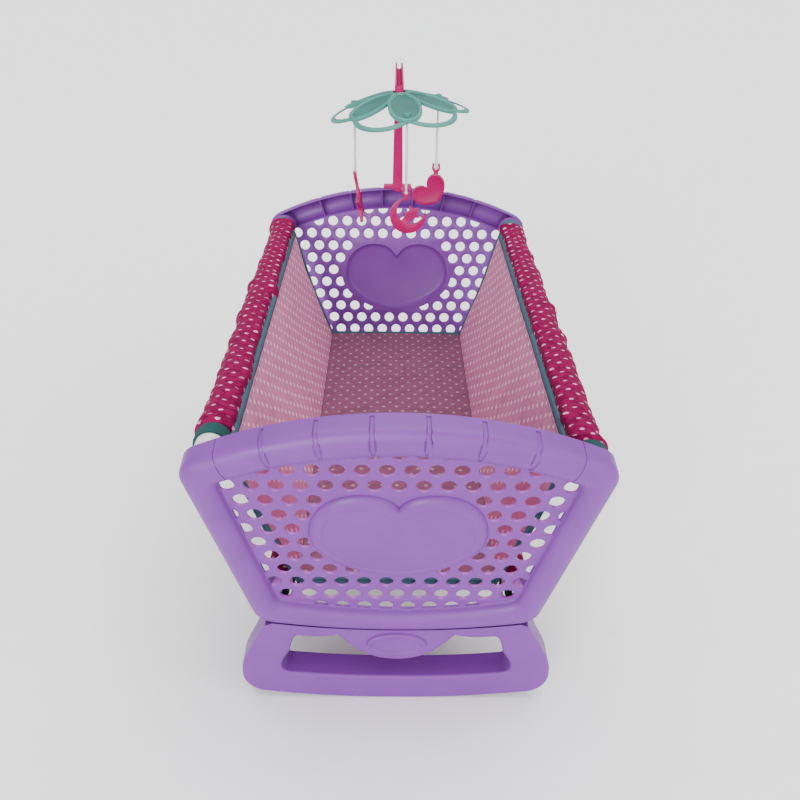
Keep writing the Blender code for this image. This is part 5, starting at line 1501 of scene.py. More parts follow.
def foot_lean(y, share):
    """How much farther the wall reaches at a share of its height near its foot end, as the panel leans."""
    return FOOT_LEAN * min(share * 1.15, 1) * min(max((-y - FOOT_LEAN_START) / FOOT_LEAN_RUN, 0), 1)


def wall_mesh(from_share, to_share, thickness, near, far, bow, steps, along, ripple=0.0, seed=0.0,
        soft=0.0):
    """A piece of the right wall between two shares of its height."""
    top, bottom, normal = wall_line()
    rings = []
    for j in range(along + 1):
        y = near + (far - near) * j / along
        end_soft = soft * max(0.0, 1 - min(j, along - j)) if along > 1 else 0.0
        outer = []
        inner = []
        for k in range(steps + 1):
            share = from_share + (to_share - from_share) * k / steps
            place = y - foot_lean(y, share)
            rise = (k / steps) * (1 - k / steps) * 4
            wave = ripple * noise.noise((y * 20 + share * 2.4, share * 1.6, seed)) * rise
            wave += ripple * 0.7 * noise.noise((y * 46 + share * 4.5, share * 2.2, seed + 4)) * rise
            wave += ripple * 0.3 * noise.noise((y * 90, share * 5.0, seed + 9)) * (1 - 0.6 * rise)
            base = bottom.lerp(top, share) + normal * (bow * sin(pi * share) ** 2)
            spot = base + normal * (thickness - end_soft + wave - soft * (1 - rise) ** 3)
            outer.append(Vector((base.x, place, base.y)) + Vector((normal.x, 0, normal.y)) * end_soft)
            inner.append(Vector((spot.x, place, spot.y)))
        rings.append(outer + inner[::-1])
    mesh = loft("wall", rings)
    height = (top - bottom).length
    run = (top - bottom).normalized()

    def rule(point, middle, face_normal):
        return point.y, (flat(point.x, point.z) - bottom).dot(run)
    return unwrapped(mesh, rule), height * (to_share - from_share), normal


def sided(mesh, side):
    """The right wall's mesh, or its mirror image for the left wall."""
    if side == "left":
        mesh = mesh.copy()
        mesh.transform(Matrix.Scale(-1, 4, (1, 0, 0)))
        mesh.flip_normals()
    return smooth(mesh, 50)


def two_faced(made, inner, outer, side, normal):
    """Give the face towards the cradle's inside one cloth and the rest another."""
    mesh = dressed(made.data, inner, outer)
    facing = Vector((normal.x * (1 if side == "right" else -1), 0, normal.y))
    for face in mesh.polygons:
        face.material_index = 0 if face.normal.dot(facing) > 0.3 else 1


class CRADLE_OT_walls(bpy.types.Operator):
    """Make the side walls of the sling, their piping and their binding tape"""
    bl_idname = "cradle.walls"
    bl_label = "Walls"

    def execute(self, context):
        low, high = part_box("right_wall")
        binding_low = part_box("right_foot_wall_binding")[0]
        binding_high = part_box("right_head_wall_binding")[1]
        full = (wall_line()[0] - wall_line()[1]).length
        piping = 1 - PIPING_SHOWN / full
        tape = (40, 6, 0.15 * MM, 0.5 * MM)
        parts = (("wall", 0, piping - GAP / full, WALL_THICKNESS, low.y, high.y, 36, 130, 1.5 * MM, 0.0),
                 ("wall_piping", piping, 1, PIPING_THICKNESS, low.y, high.y, 8, 150, 0.35 * MM, 0.9 * MM),
                 ("foot_wall_binding", 0, 1, BINDING_THICKNESS, binding_low.y, low.y - GAP, *tape),
                 ("head_wall_binding", 0, 1, BINDING_THICKNESS, high.y + GAP, binding_high.y, *tape))
        for side in ("left", "right"):
            made = []
            for number, part in enumerate(parts):
                name, start, end, thick, near, far, steps, along, ripple, soft = part
                bow = 0.0 if name == "wall_piping" else -WALL_BOW
                mesh, height, normal = wall_mesh(start, end, thick, near, far, bow, steps, along, ripple,
                    number * 3.1 + (7 if side == "left" else 0), soft)
                item = piece(f"{side}_{name}_cloth", sided(mesh, side),
                    lining_cloth() if name == "wall" else binding_tape(), "frame", [f"{side}_{name}"])
                if name == "wall":
                    two_faced(item, lining_cloth(), sleeve_cloth(), side, normal)
                made.append((item, height))
            wall, height = made[0]
        return {"FINISHED"}


def slab_mesh(low, high, low_half, high_half, near, far, across, along, surface):
    """A slab with sloped sides; surface gives its top's height over high at (x share, y share)."""
    rings = []
    for j in range(along + 1):
        y = near + (far - near) * j / along
        bottom = [Vector((low_half * (2 * k / across - 1), y, low)) for k in range(across + 1)]
        top = [Vector((high_half * (1 - 2 * k / across), y, high + surface(1 - k / across, j / along)))
            for k in range(across + 1)]
        rings.append(bottom + top)
    return unwrapped(loft("slab", rings), lambda point, middle, normal: (point.y, point.x))


def puffed(mesh, high, cap):
    """Let the cloth between the seams swell a little, as stuffing would, up to a cap."""
    start = [v.co.copy() for v in mesh.vertices]
    body = helper("pad", mesh)
    held = body.vertex_groups.new(name="held")
    held.add([v.index for v in mesh.vertices if v.co.z < high or v.select], 1.0, "REPLACE")
    sewn = body.modifiers.new("sewn", "CLOTH")
    settings = sewn.settings
    settings.vertex_group_mass = "held"
    settings.use_pressure = True
    settings.uniform_pressure_force = 4.0
    settings.effector_weights.gravity = 0.0
    settings.tension_stiffness = 25.0
    settings.bending_stiffness = 0.4
    scene = bpy.context.scene
    frames = sizes().pad_steps
    sewn.point_cache.frame_start = 1
    sewn.point_cache.frame_end = frames
    for number in range(1, frames + 1):
        scene.frame_set(number)
    swollen = plain(body)
    scene.frame_set(1)
    for vertex, before in zip(swollen.vertices, start):
        step = vertex.co - before
        if step.length > cap:
            vertex.co = before + step * (cap / step.length)
    return swollen


class CRADLE_OT_floor(bpy.types.Operator):
    """Make the sling's floor: padded lining, board, outer cover and end bindings"""
    bl_idname = "cradle.floor"
    bl_label = "Floor"

    def execute(self, context):
        def sloped(node, top):
            """Half widths at the bottom and top of a floor node, from the walls' slope."""
            wall_top, wall_bottom, normal = wall_line()
            skin = normal * (BINDING_THICKNESS + GAP)
            start, end = wall_bottom + skin, wall_top + skin
            return [start.lerp(end, (z - start.y) / (end.y - start.y)).x for z in (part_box(node)[0].z, top)]

        low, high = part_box("floor_lining")
        seams = [(place - low.y) / (high.y - low.y) for place in FLOOR_SEAMS]

        def lining_top(x, y):
            crown = FLOOR_CROWN * (sin(pi * x) ** 0.7 - 1)
            edge = min(x, 1 - x) * 2
            pucker = noise.noise((y * 30, x * 2.6, 2.0)) + 0.5 * noise.noise((y * 62, x * 4, 6.0))
            pucker = 0.9 * MM * pucker * edge ** 0.5
            pucker += 0.35 * MM * noise.noise((y * 80, x * 5, 4.0)) * (1 - edge) ** 4
            seam = sum(exp(-((y - s) * (high.y - low.y) / (2.2 * MM)) ** 2) for s in seams)
            return crown + pucker - SEAM_DEPTH * seam if min(y, 1 - y) > 0.002 else crown - SEAM_DEPTH

        low_half, high_half = sloped("floor_lining", high.z)
        mesh = slab_mesh(low.z, high.z, low_half, high_half - LINING_SLACK, low.y, high.y, 40, 110,
            lining_top)
        for vertex in mesh.vertices:
            share = (vertex.co.y - low.y) / (high.y - low.y)
            vertex.select = (abs(vertex.co.x) > high_half * 0.93 or share < 0.01 or share > 0.99
                or any(abs(share - s) < 0.006 for s in seams))
        mesh = puffed(mesh, low.z + 0.5 * MM, 0.9 * MM)
        pad = piece("floor_lining_pad", smooth(mesh, 60), floor_cloth(), "frame", ["floor_lining"])
        stitched("floor_seams", [[Vector((high_half * (k / 20 - 1) * 0.94, low.y + s * (high.y - low.y),
            high.z - 0.9 * MM)) for k in range(41)] for s in seams], thread())

        low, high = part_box("base_board")
        low_half, high_half = sloped("base_board", high.z)
        mesh = slab_mesh(low.z, high.z, low_half, high_half, low.y, high.y, 2, 2, lambda x, y: 0.0)
        piece("base_board_plain", smooth(mesh), plastic("grey_board", (0.30, 0.28, 0.26), 0.8, 300.0,
            0.3 * MM, 0.0, 0.12), "frame", ["base_board"])
        low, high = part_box("floor_cover")
        low_half, high_half = sloped("floor_cover", high.z)
        mesh = slab_mesh(low.z, high.z, low_half, high_half, low.y, high.y, 24, 60, lambda x, y: 0.0)
        cover = piece("floor_cover_cloth", smooth(mesh, 60), sleeve_cloth(), "frame", ["floor_cover"])
        for end in ("foot", "head"):
            low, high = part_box(f"{end}_floor_binding")
            low_half, high_half = sloped(f"{end}_floor_binding", high.z)
            mesh = slab_mesh(low.z, high.z, low_half, high_half, low.y, high.y, 60, 10,
                lambda x, y: -0.7 * MM * (2 * y - 1) ** 6 + 0.12 * MM * noise.noise((x * 40, y * 3, 1.0)))
            piece(f"{end}_floor_binding_tape", smooth(mesh, 50), binding_tape(), "frame",
                [f"{end}_floor_binding"])
        low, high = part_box("floor_cover")
        return {"FINISHED"}


class CRADLE_OT_stitches(bpy.types.Operator):
    """Sew the piping and the bindings"""
    bl_idname = "cradle.stitches"
    bl_label = "Stitches"

    def execute(self, context):
        top, bottom, normal = wall_line()
        height = (top - bottom).length
        low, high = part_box("right_wall")
        binding_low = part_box("right_foot_wall_binding")[0].y
        binding_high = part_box("right_head_wall_binding")[1].y
        lines = []
        for sign in (1, -1):
            out = WALL_THICKNESS + 0.25 * MM
            share = 1 - (PIPING_SHOWN + 2.5 * MM) / height
            spot = bottom.lerp(top, share) + normal * (out - WALL_BOW * sin(pi * share) ** 2)
            along = [low.y + (high.y - low.y) * k / 60 for k in range(61)]
            lines.append([Vector((spot.x * sign, y - foot_lean(y, share), spot.y)) for y in along])
            for y in ((binding_low + low.y) / 2, (binding_high + high.y) / 2):
                line = []
                for k in range(3, 38):
                    share = k / 40
                    spot = bottom.lerp(top, share) + normal * (BINDING_THICKNESS + 0.1 * MM
                        - WALL_BOW * sin(pi * share) ** 2)
                    line.append(Vector((spot.x * sign, y - foot_lean(y, share), spot.y)))
                lines.append(line)
        stitched("binding_stitches", lines, thread())
        return {"FINISHED"}


# Mobile

def clip_mesh():
    """A saddle over the headboard's top rail, in the panel's own frame."""
    top = PANEL_RISE + GAP
    outer = RAIL_CROWN + GAP
    inner = -RAIL_DEPTH - GAP
    wall = CLIP_WALL
    section = [flat(outer, top), flat(outer, top - CLIP_LEG), flat(outer + wall, top - CLIP_LEG)]
    turns = [pi / 2 * k / 6 for k in range(7)]
    section += [flat(outer + wall / 2, top + wall / 2) + wall / 2 * flat(cos(t), sin(t)) for t in turns]
    section += [flat(inner - wall / 2, top + wall / 2) + wall / 2 * flat(-sin(t), cos(t)) for t in turns]
    section += [flat(inner - wall, top - CLIP_LIP * 0.4), flat(inner, top - CLIP_LIP * 0.4),
        flat(inner, top)]
    half = CLIP_WIDTH / 2
    mesh = loft("clip", [[Vector((x, -p.x, p.y)) for p in section] for x in (-half, half)])
    near = inner - wall * 3 / 4
    far = inner - GAP
    slim = ARM_WIDTHS[0] / 2 - ARM_WEB / 2
    low = top - CLIP_TONGUE * 0.6
    outline = [flat(-slim, top + wall / 2), flat(-slim, low + slim)]
    outline += [flat(-slim * cos(pi * k / 12), low + slim - slim * sin(pi * k / 12)) for k in range(1, 12)]
    outline += [flat(slim, low + slim), flat(slim, top + wall / 2)]
    tongue = plate("tongue", outline, -near, -far)
    return carved("clip", mesh, [("UNION", tongue)])


def arm_mesh():
    """A tapered channel that rises from the clip, bends forward and ends over the flower's hub."""
    foot = HALF_TURN @ FOOT_PLACE @ Vector((0, RAIL_DEPTH + GAP + CLIP_WALL, PANEL_RISE + GAP + CLIP_WALL))
    depth = ARM_WEB + ARM_CHANNEL
    tip_height = HUB_TOP + GAP + HUB_BOSS_HEIGHT / 4
    slope = atan2(ARM_TOP - tip_height, foot.y - HUB_Y)
    stations = []
    start = flat(foot.y, foot.z - CLIP_WALL / 2)
    rise = flat(foot.y, ARM_TOP - ARM_BEND)
    for k in range(9):
        share = k / 8
        stations.append((start.lerp(rise, share), -PANEL_LEAN * (1 - share),
            ARM_WIDTHS[0] + (ARM_WIDTHS[1] - ARM_WIDTHS[0]) * share))
    centre = flat(foot.y - ARM_BEND, ARM_TOP - ARM_BEND)
    for k in range(1, 13):
        angle = (pi / 2 + slope) * k / 12
        stations.append((centre + ARM_BEND * flat(cos(angle), sin(angle)), angle, ARM_WIDTHS[1]))
    last = stations[-1][0]
    run = last.x - HUB_Y + HUB_BOSS_DIAMETER / 4
    for k in range(1, 7):
        share = k / 6
        stations.append((last - flat(cos(slope), sin(slope)) * run * share / cos(slope), pi / 2 + slope,
            ARM_WIDTHS[1] + (ARM_WIDTHS[2] - ARM_WIDTHS[1]) * share))
    rings = []
    for spot, angle, width in stations:
        out = flat(cos(angle), sin(angle))
        half = width / 2
        inner = half - ARM_WEB
        ring = []
        trough = [(inner * cos(pi * j / 8), ARM_WEB + min(inner, ARM_CHANNEL / 2) * (1 - sin(pi * j / 8)))
            for j in range(9)]
        for x, away in ((-half, 0), (half, 0), (half, depth), (inner, depth), *trough, (-inner, depth),
                (-half, depth)):
            place = spot + out * away
            ring.append(Vector((x, place.x, place.y)))
        rings.append(ring)
    head = GAP + HUB_BOSS_HEIGHT
    own_hub = CENTRING.inverted() @ HUB
    boss = upright(0, 0, GAP, head, HUB_BOSS_DIAMETER / 2)
    hole = upright(0, 0, -OVERRUN, head + OVERRUN, PIN_DIAMETER / 2 + PIN_FIT)
    arm = carved("arm", loft("arm", rings), [("UNION", moved(clip_mesh(), HALF_TURN @ FOOT_PLACE)),
        ("UNION", moved(boss, own_hub)), ("DIFFERENCE", moved(hole, own_hub))])
    return moved(smooth(rounded(arm, FINE_ROUND, 2, 62), 45), CENTRING)


class CRADLE_OT_arm(bpy.types.Operator):
    """Make the mobile's arm with its clip, and the pin of the flower"""
    bl_idname = "cradle.arm"
    bl_label = "Arm"

    def execute(self, context):
        finish = plastic("hot_pink_plastic_arm", tuple(c * 1.1 for c in colours().hot_pink_plastic), 0.52,
            shine=0.12)
        piece("mobile_arm_moulding", arm_mesh(), finish, "mobile_stand", ["mobile_arm"])
        low = -HUB_THICKNESS - GAP - PIN_HEAD_HEIGHT
        profile = [(1.6 * MM, low), (3.4 * MM, low + 0.35 * MM), (4.2 * MM, low + 0.9 * MM),
            (PIN_HEAD_RADIUS, low + 1.6 * MM), (PIN_HEAD_RADIUS, low + PIN_HEAD_HEIGHT),
            (PIN_DIAMETER / 2, low + PIN_HEAD_HEIGHT), (PIN_DIAMETER / 2, HUB_BOSS_HEIGHT - 0.8 * MM),
            (PIN_DIAMETER / 2 - 0.5 * MM, HUB_BOSS_HEIGHT - GAP)]
        piece("hub_pin_plain", smooth(moved(lathed("pin", profile), HUB)), sea_green(), "mobile_stand",
            ["hub_pin"])
        return {"FINISHED"}


# The petals' dished floor: a darker, rougher, more mottled sea green; the darkening is painted shade.
def petal_floor_painted_shade():
    return plastic("sea_green_plastic_matt", tuple(c * 0.62 for c in colours().sea_green), 0.5, 500.0,
        0.25 * MM, mottle=0.2, shine=0.15)


def sea_green():
    return plastic("sea_green_plastic_moulded", colours().sea_green, 0.34, shine=0.22)


def droop(radius):
    return -FLOWER_DROOP * (radius / FLOWER_REACH) ** FLOWER_DROOP_POWER


def on_dome(spot, height):
    return Vector((spot.x, spot.y, droop(spot.length) + height))


def petal_mesh(angle, step):
    """A petal, dished inside a raised rounded rim."""
    along = flat(cos(angle), sin(angle))
    across = flat(-along.y, along.x)
    middle = (PETAL_START + PETAL_REACH) / 2
    reach = (PETAL_REACH - PETAL_START) / 2
    low = -PETAL_THICKNESS / 2
    top = low + PETAL_THICKNESS + PETAL_RIM_HEIGHT
    floor_height = PETAL_THICKNESS / 2
    soft = 0.55 * MM
    deep = PETAL_RIM + PETAL_RIM_HEIGHT
    profile = [(PETAL_HALF_WIDTH * s, low) for s in (0.95, 0.7, 0.4)]
    profile += [(soft, low), (soft * 0.3, low + soft * 0.3), (0, low + soft), (0, top - soft),
        (soft * 0.3, top - soft * 0.3), (soft, top), (PETAL_RIM - soft, top),
        (PETAL_RIM - soft * 0.3, top - soft * 0.3), (PETAL_RIM + soft * 0.2, top - soft),
        (deep - soft, floor_height + soft * 0.5), (deep, floor_height)]
    profile += [(PETAL_HALF_WIDTH * s, floor_height) for s in (0.45, 0.7, 0.95)]
    rings = []
    for inward, height in profile:
        ring = []
        for k in range(56):
            t = 2 * pi * k / 56
            spot = (along * (middle + (reach - inward) * cos(t))
                + across * (PETAL_HALF_WIDTH - inward) * sin(t) * (1 + PETAL_SWELL_SHARE * cos(t)))
            ring.append(on_dome(spot, height - step))
        rings.append(ring)
    return loft("petal", rings)


def loop_mesh(first, low_step=0.4 * MM):
    """A flat bar with rounded edges from the tip of one petal round to the tip of the next."""
    second = first + 2 * pi / PETAL_COUNT
    start = flat(cos(first), sin(first)) * LOOP_START
    end = flat(cos(second), sin(second)) * LOOP_START
    half = pi / PETAL_COUNT
    bulge = FLOWER_REACH - LOOP_BAR / 2 - LOOP_START * cos(half)
    reach = bulge * 4 / 3 / cos(LOOP_LEAN - half)
    line = bezier(start, start + reach * flat(cos(first + LOOP_LEAN), sin(first + LOOP_LEAN)),
        end + reach * flat(cos(second - LOOP_LEAN), sin(second - LOOP_LEAN)), end, 36)
    line.append(end)
    rings = []
    for k, spot in enumerate(line):
        along = (line[min(k + 1, 36)] - line[max(k - 1, 0)]).normalized()
        side = flat(-along.y, along.x)
        middle = -low_step
        ring = []
        for j in range(16):
            t = 2 * pi * j / 16
            u = max(min(cos(t) * 1.3, 1), -1) * LOOP_BAR / 2
            v = max(min(sin(t) * 1.15, 1), -1) * LOOP_THICKNESS / 2
            ring.append(on_dome(spot + side * u, middle + v))
        rings.append(ring)
    return loft("loop", rings)


def flower_mesh():
    """A third of the flower three times round its hub, by geometry nodes."""
    turn = 2 * pi / PETAL_COUNT
    floor_height = droop(NUB_RADIUS) + PETAL_THICKNESS / 2
    bore = upright(NUB_RADIUS, 0, floor_height - 4 * MM, floor_height + 6 * MM,
        sizes().string_diameter / 2 + GAP, 20)
    nub = upright(NUB_RADIUS, 0, floor_height - 1.5 * MM, floor_height + NUB_HEIGHT, NUB_DIAMETER / 2, 36)
    crown = upright(0, 0, 0, HUB_THICKNESS + OVERRUN, HUB_BOSS_DIAMETER / 2 + OVERRUN, 32)
    seat = upright(0, 0, -HUB_THICKNESS * 2, -HUB_THICKNESS, PIN_HEAD_RADIUS + OVERRUN, 32)
    clear = [("DIFFERENCE", crown), ("DIFFERENCE", seat)]
    carrier = carved("petal", petal_mesh(0, 0), [("UNION", rounded(nub, 0.5 * MM)), ("DIFFERENCE", bore)]
        + clear)
    other = carved("petal", petal_mesh(turn, 0.4 * MM), clear)
    third = together("third", [carrier, other, loop_mesh(0), loop_mesh(turn)])
    rim = HUB_DIAMETER / 2
    bore_radius = PIN_DIAMETER / 2 + PIN_FIT
    hub = lathed("hub", ((bore_radius, -HUB_THICKNESS), (rim - 0.5 * MM, -HUB_THICKNESS),
        (rim, -HUB_THICKNESS + 0.5 * MM), (rim, -HUB_THICKNESS / 4), (rim - 0.6 * MM, -0.4 * MM),
        (rim - HUB_THICKNESS / 2, 0), (bore_radius, 0)), round_trip=True)
    source = helper("third", third)
    mesh = grown("flower", hub, tree_named("Round a hub", ring_tree),
        {"Piece": source, "Count": 3, "First Angle": FLOWER_TURN, "Material": sea_green()}, [source])
    # Faces of the petals' dished floor take the darker sea green, painted shade.
    for face in dressed(mesh, sea_green(), petal_floor_painted_shade()).polygons:
        reach = flat(face.center.x, face.center.y).length
        height = face.center.z - droop(reach)
        flush = face.normal.z > 0.75 and height < PETAL_THICKNESS / 2 + 0.3 * MM
        inside = HUB_DIAMETER / 2 < reach < PETAL_REACH - PETAL_RIM
        face.material_index = 1 if flush and inside else 0
    return smooth(mesh, 42)


class CRADLE_OT_flower(bpy.types.Operator):
    """Make the flower that the strings hang from"""
    bl_idname = "cradle.flower"
    bl_label = "Flower"

    def execute(self, context):
        piece("flower_moulding", moved(flower_mesh(), HUB), None, "flower", ["flower"])
        return {"FINISHED"}


CHARM_PETALS = {"star": 4, "moon": 0, "heart": 2}


def string_top(name):
    angle = FLOWER_TURN + 2 * pi * CHARM_PETALS[name] / PETAL_COUNT
    height = droop(NUB_RADIUS) - PETAL_THICKNESS / 2 - STRING_SLACK
    return HUB @ Vector((NUB_RADIUS * cos(angle), NUB_RADIUS * sin(angle), height))


def cord_mesh(length):
    """A two-ply twisted string with a knot at its end, hanging from the origin."""
    radius = sizes().string_diameter / 2
    steps = int(length / (0.5 * MM))
    rings = []
    for k in range(steps + 1):
        z = -length * k / steps
        turn = z / (3.4 * MM) * pi
        knot = 0.75 * MM * exp(-((length + z - 1.4 * MM) / (1.3 * MM)) ** 2)
        ring = []
        for j in range(16):
            t = 2 * pi * j / 16
            out = radius * (0.88 + 0.12 * abs(cos(t - turn))) + knot
            ring.append(Vector((out * cos(t), out * sin(t), z)))
        rings.append(ring)
    return loft("string", rings)


class CRADLE_OT_strings(bpy.types.Operator):
    """Make the strings that the charms hang on"""
    bl_idname = "cradle.strings"
    bl_label = "Strings"

    def execute(self, context):
        finish = plastic("twisted_string", colours().string, 0.85, 1600.0, 0.3 * MM, 0.0, 0.15)
        for name, length in STRING_LENGTHS.items():
            top = string_top(name)
            end = length + EYE_BORE / 2 - GAP
            mesh = moved(cord_mesh(end), Matrix.Translation(top))
            made = piece(f"{name}_string_twisted", smooth(mesh, 70), finish, f"{name}_line",
                [f"{name}_string"])
        return {"FINISHED"}


def flat_piece(name, outline, thickness=CHARM_THICKNESS):
    return plate(name, outline, -thickness / 2, thickness / 2)


def eye_steps():
    """The open fork that a charm hangs from: two prongs with thick ends, and the string between."""
    half = EYE_DIAMETER / 2
    slim = EYE_SLOT / 2
    low = -EYE_DIAMETER / 2 - EYE_STEM - GAP * 4
    fork = [flat(-EYE_BORE / 2, low), flat(EYE_BORE / 2, low), flat(EYE_BORE / 2, -half),
        flat(half, -half * 0.3), flat(half * 0.94, half * 0.9), flat(half * 0.7, half * 1.05),
        flat(slim, half * 0.95), flat(slim + 0.9 * MM, half * 0.2), flat(EYE_BORE / 2, -EYE_BORE * 0.15),
        flat(0, -EYE_BORE / 2)]
    fork = rounded_corners(fork[:9] + [flat(0, -EYE_BORE / 2)] + [flat(-p.x, p.y) for p in fork[8:2:-1]]
        + [flat(-EYE_BORE / 2, -half)], 1.3 * MM, 4)
    return [("UNION", flat_piece("fork", fork, CHARM_THICKNESS - GAP))]


def rounded_corners(outline, radius, steps=5):
    """The outline with each corner replaced by a small arc-like curve."""
    points = []
    for before, here, after in zip(outline[-1:] + outline[:-1], outline, outline[1:] + outline[:1]):
        back = here + (before - here).normalized() * min(radius, (before - here).length * 0.45)
        ahead = here + (after - here).normalized() * min(radius, (after - here).length * 0.45)
        for k in range(steps + 1):
            t = k / steps
            points.append(back * (1 - t) ** 2 + here * 2 * t * (1 - t) + ahead * t * t)
    return points


def sunk_fields(outline):
    """The shallow field inside a charm's border, on both faces."""
    return [("DIFFERENCE", moved(flat_piece("field", outline, 4 * MM),
        Matrix.Translation((0, side * (CHARM_THICKNESS / 2 + 1.2 * MM), 0)))) for side in (-1, 1)]


def charm_star():
    drop = EYE_DIAMETER / 2 + EYE_STEM - GAP * 2 + STAR_RADIUS
    outline = rounded_corners(star_outline(flat(0, -drop), STAR_RADIUS), 3 * MM)
    field = rounded_corners(star_outline(flat(0, -drop), STAR_RADIUS - STAR_BORDER), 2 * MM)
    return carved("star", flat_piece("star", outline), sunk_fields(field) + eye_steps())


def charm_moon():
    centre = flat(MOON_RADIUS / 8, -EYE_DIAMETER / 2 - EYE_STEM / 2 - MOON_RADIUS)
    bite_centre = centre + MOON_RADIUS * (1 - MOON_BITE_SHARE) * 1.5 * flat(cos(pi / 3), sin(pi / 3))
    bite = flat_piece("bite", circle(bite_centre, MOON_RADIUS * MOON_BITE_SHARE, 60),
        CHARM_THICKNESS + OVERRUN)
    star_centre = centre + flat(MOON_RADIUS / 4, MOON_RADIUS / 8)
    small = rounded_corners(star_outline(star_centre, MOON_STAR_RADIUS, pi / 9), 1.2 * MM, 4)
    bridge = flat_piece("bridge", [centre + MOON_RADIUS * flat(x, y) for x, y in MOON_BRIDGE_SHARES],
        CHARM_THICKNESS - GAP * 2)
    disc = flat_piece("moon", circle(centre, MOON_RADIUS, 72))
    return carved("moon", disc, [("DIFFERENCE", bite), ("UNION", bridge),
        ("UNION", flat_piece("small", small, CHARM_THICKNESS - GAP))] + eye_steps())


def charm_heart():
    outline = heart_outline(CHARM_HEART_HALF_WIDTH, 0, -CHARM_HEART_WIDEST, -CHARM_HEART_POINT,
        CHARM_HEART_LOBE_SHARES, CHARM_HEART_TAPER_SHARES, 22)
    turned = [flat(p.x * cos(CHARM_HEART_HANG) - p.y * sin(CHARM_HEART_HANG),
        p.x * sin(CHARM_HEART_HANG) + p.y * cos(CHARM_HEART_HANG)) for p in outline]
    top = max(turned, key=lambda p: p.y)
    hung = [p - top - flat(0, EYE_DIAMETER / 2 + EYE_STEM - GAP * 2) for p in turned]
    middle = sum(hung, flat(0, 0)) / len(hung)
    field = [middle + (p - middle) * (1 - CHARM_HEART_BORDER / (p - middle).length) for p in hung]
    return carved("heart", flat_piece("heart", hung), sunk_fields(field) + eye_steps())


class CRADLE_OT_charms(bpy.types.Operator):
    """Make the star, the moon and the heart of the mobile"""
    bl_idname = "cradle.charms"
    bl_label = "Charms"

    def execute(self, context):
        makers = {"star": charm_star, "moon": charm_moon, "heart": charm_heart}
        for name, maker in makers.items():
            lean = STAR_LEAN if name == "star" else 0.0
            place = (Matrix.Translation(string_top(name) - Vector((0, 0, STRING_LENGTHS[name])))
                @ Matrix.Rotation(CHARM_TURNS[name], 4, "Z") @ Matrix.Rotation(lean, 4, "X"))
            mesh = smooth(rounded(maker(), FINE_ROUND, 2, 40), 50)
            piece(f"{name}_charm_moulding", moved(mesh, place), hot_pink_plastic(), f"{name}_charm",
                [f"{name}_charm"])
        return {"FINISHED"}


# Stage

FLOOR_REACH = 16.0
CAMERA_PLACE = Vector((-0.0079, -0.80526, 0.6149))
CAMERA_YAW = radians(0.8)
CAMERA_PITCH = radians(29.74)
CAMERA_ROLL = radians(-0.9)
CAMERA_LENS = 39.65


# Name, direction that the light comes from, power and spread in degrees
SUNS = (("key", (-0.6, -1.5, 0.5), 3.1, 30), ("front", (0.5, -1.6, 0.1), 1.4, 60),
    ("side", (1.5, -0.8, 1.0), 1.0, 50), ("top", (0.1, 0.2, 1.0), 3.0, 60))


def soft_sun(name, origin, power, spread):
    """A broad light from the direction of a place, even over the whole floor."""
    light = bpy.data.lights.new(name, "SUN")
    light.energy = power
    light.angle = radians(spread)
    sun = bpy.data.objects.new(name, light)
    sun.rotation_euler = Vector(origin).to_track_quat("Z", "Y").to_euler()
    bpy.context.scene.collection.objects.link(sun)


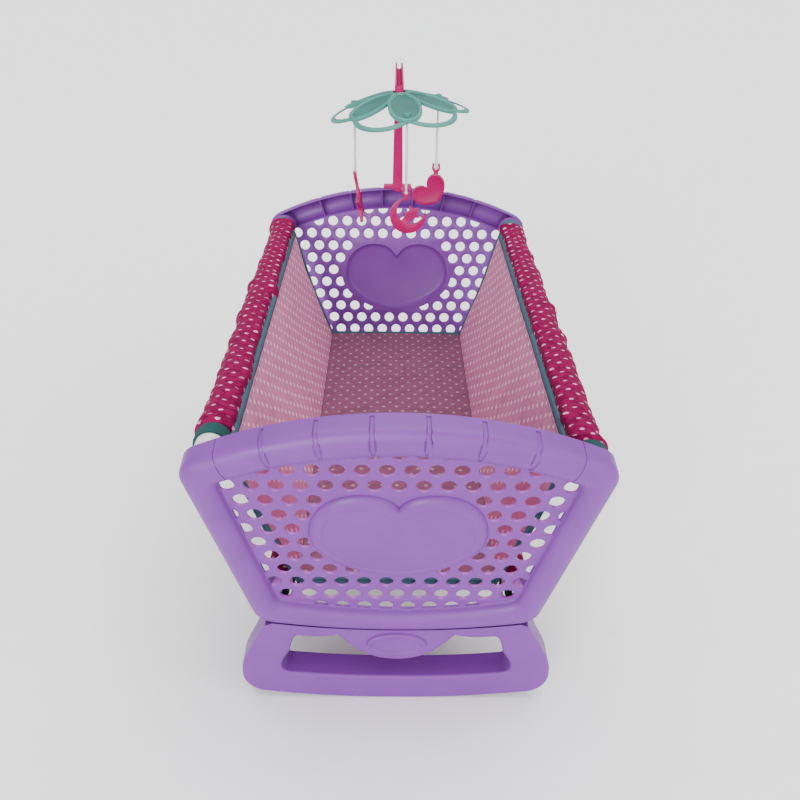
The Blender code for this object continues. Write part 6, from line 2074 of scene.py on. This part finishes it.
class CRADLE_OT_stage(bpy.types.Operator):
    """Set up the pale floor, the soft light and the camera"""
    bl_idname = "cradle.stage"
    bl_label = "Stage"

    def execute(self, context):
        scene = context.scene
        mesh = bpy.data.meshes.new("studio_floor")
        mesh.from_pydata([(x * FLOOR_REACH, y * FLOOR_REACH, 0) for x, y in SQUARE], [], [(0, 1, 2, 3)])
        floor = bpy.data.objects.new("studio_floor", mesh)
        scene.collection.objects.link(floor)
        mesh.materials.append(plastic("studio_paper", (0.93, 0.93, 0.93), 0.75, 60.0, 0.05 * MM, 0.0, 0.01))
        for light in SUNS:
            soft_sun(*light)
        world = bpy.data.worlds.new("studio")
        world.use_nodes = True
        sky = world.node_tree.nodes["Background"].inputs
        sky["Color"].default_value = (0.92, 0.93, 1.0, 1)
        sky["Strength"].default_value = 0.95
        scene.world = world
        ahead = Vector((sin(CAMERA_YAW) * cos(CAMERA_PITCH), cos(CAMERA_YAW) * cos(CAMERA_PITCH),
            -sin(CAMERA_PITCH)))
        level = Vector((cos(CAMERA_YAW), -sin(CAMERA_YAW), 0))
        low = ahead.cross(level)
        right = level * cos(CAMERA_ROLL) + low * sin(CAMERA_ROLL)
        down = low * cos(CAMERA_ROLL) - level * sin(CAMERA_ROLL)
        camera = bpy.data.objects.new("camera", bpy.data.cameras.new("camera"))
        camera.data.lens = CAMERA_LENS
        camera.data.clip_start = 0.01
        turn = Matrix((right, -down, -ahead)).transposed()
        camera.matrix_world = Matrix.Translation(CAMERA_PLACE) @ turn.to_4x4()
        scene.collection.objects.link(camera)
        scene.camera = camera
        return {"FINISHED"}


class CRADLE_PT_looks(bpy.types.Panel):
    """Sizes, colours and the operators of the doll cradle"""
    bl_idname = "CRADLE_PT_looks"
    bl_label = "Doll Cradle"
    bl_space_type = "VIEW_3D"
    bl_region_type = "UI"
    bl_category = "Cradle"

    def draw(self, context):
        layout = self.layout
        for group in (context.scene.cradle_sizes, context.scene.cradle_colours):
            box = layout.box()
            for name in group.__annotations__:
                box.prop(group, name)
        for operator in OPERATORS:
            layout.operator(operator.bl_idname)


OPERATORS = (CRADLE_OT_end_panels, CRADLE_OT_rockers, CRADLE_OT_tubes, CRADLE_OT_screws, CRADLE_OT_sleeves,
    CRADLE_OT_walls, CRADLE_OT_floor, CRADLE_OT_stitches, CRADLE_OT_arm, CRADLE_OT_flower,
    CRADLE_OT_strings, CRADLE_OT_charms, CRADLE_OT_stage)
CLASSES = (CradleSizes, CradleColours, *OPERATORS, CRADLE_PT_looks)


def register():
    for each in CLASSES:
        bpy.utils.register_class(each)
    bpy.types.Scene.cradle_sizes = PointerProperty(type=CradleSizes)
    bpy.types.Scene.cradle_colours = PointerProperty(type=CradleColours)


def unregister():
    del bpy.types.Scene.cradle_colours
    del bpy.types.Scene.cradle_sizes
    for each in reversed(CLASSES):
        bpy.utils.unregister_class(each)


def main():
    register()
    for operator in OPERATORS:
        getattr(bpy.ops.cradle, operator.bl_idname.split(".")[1])()


if __name__ == "__main__":
    main()
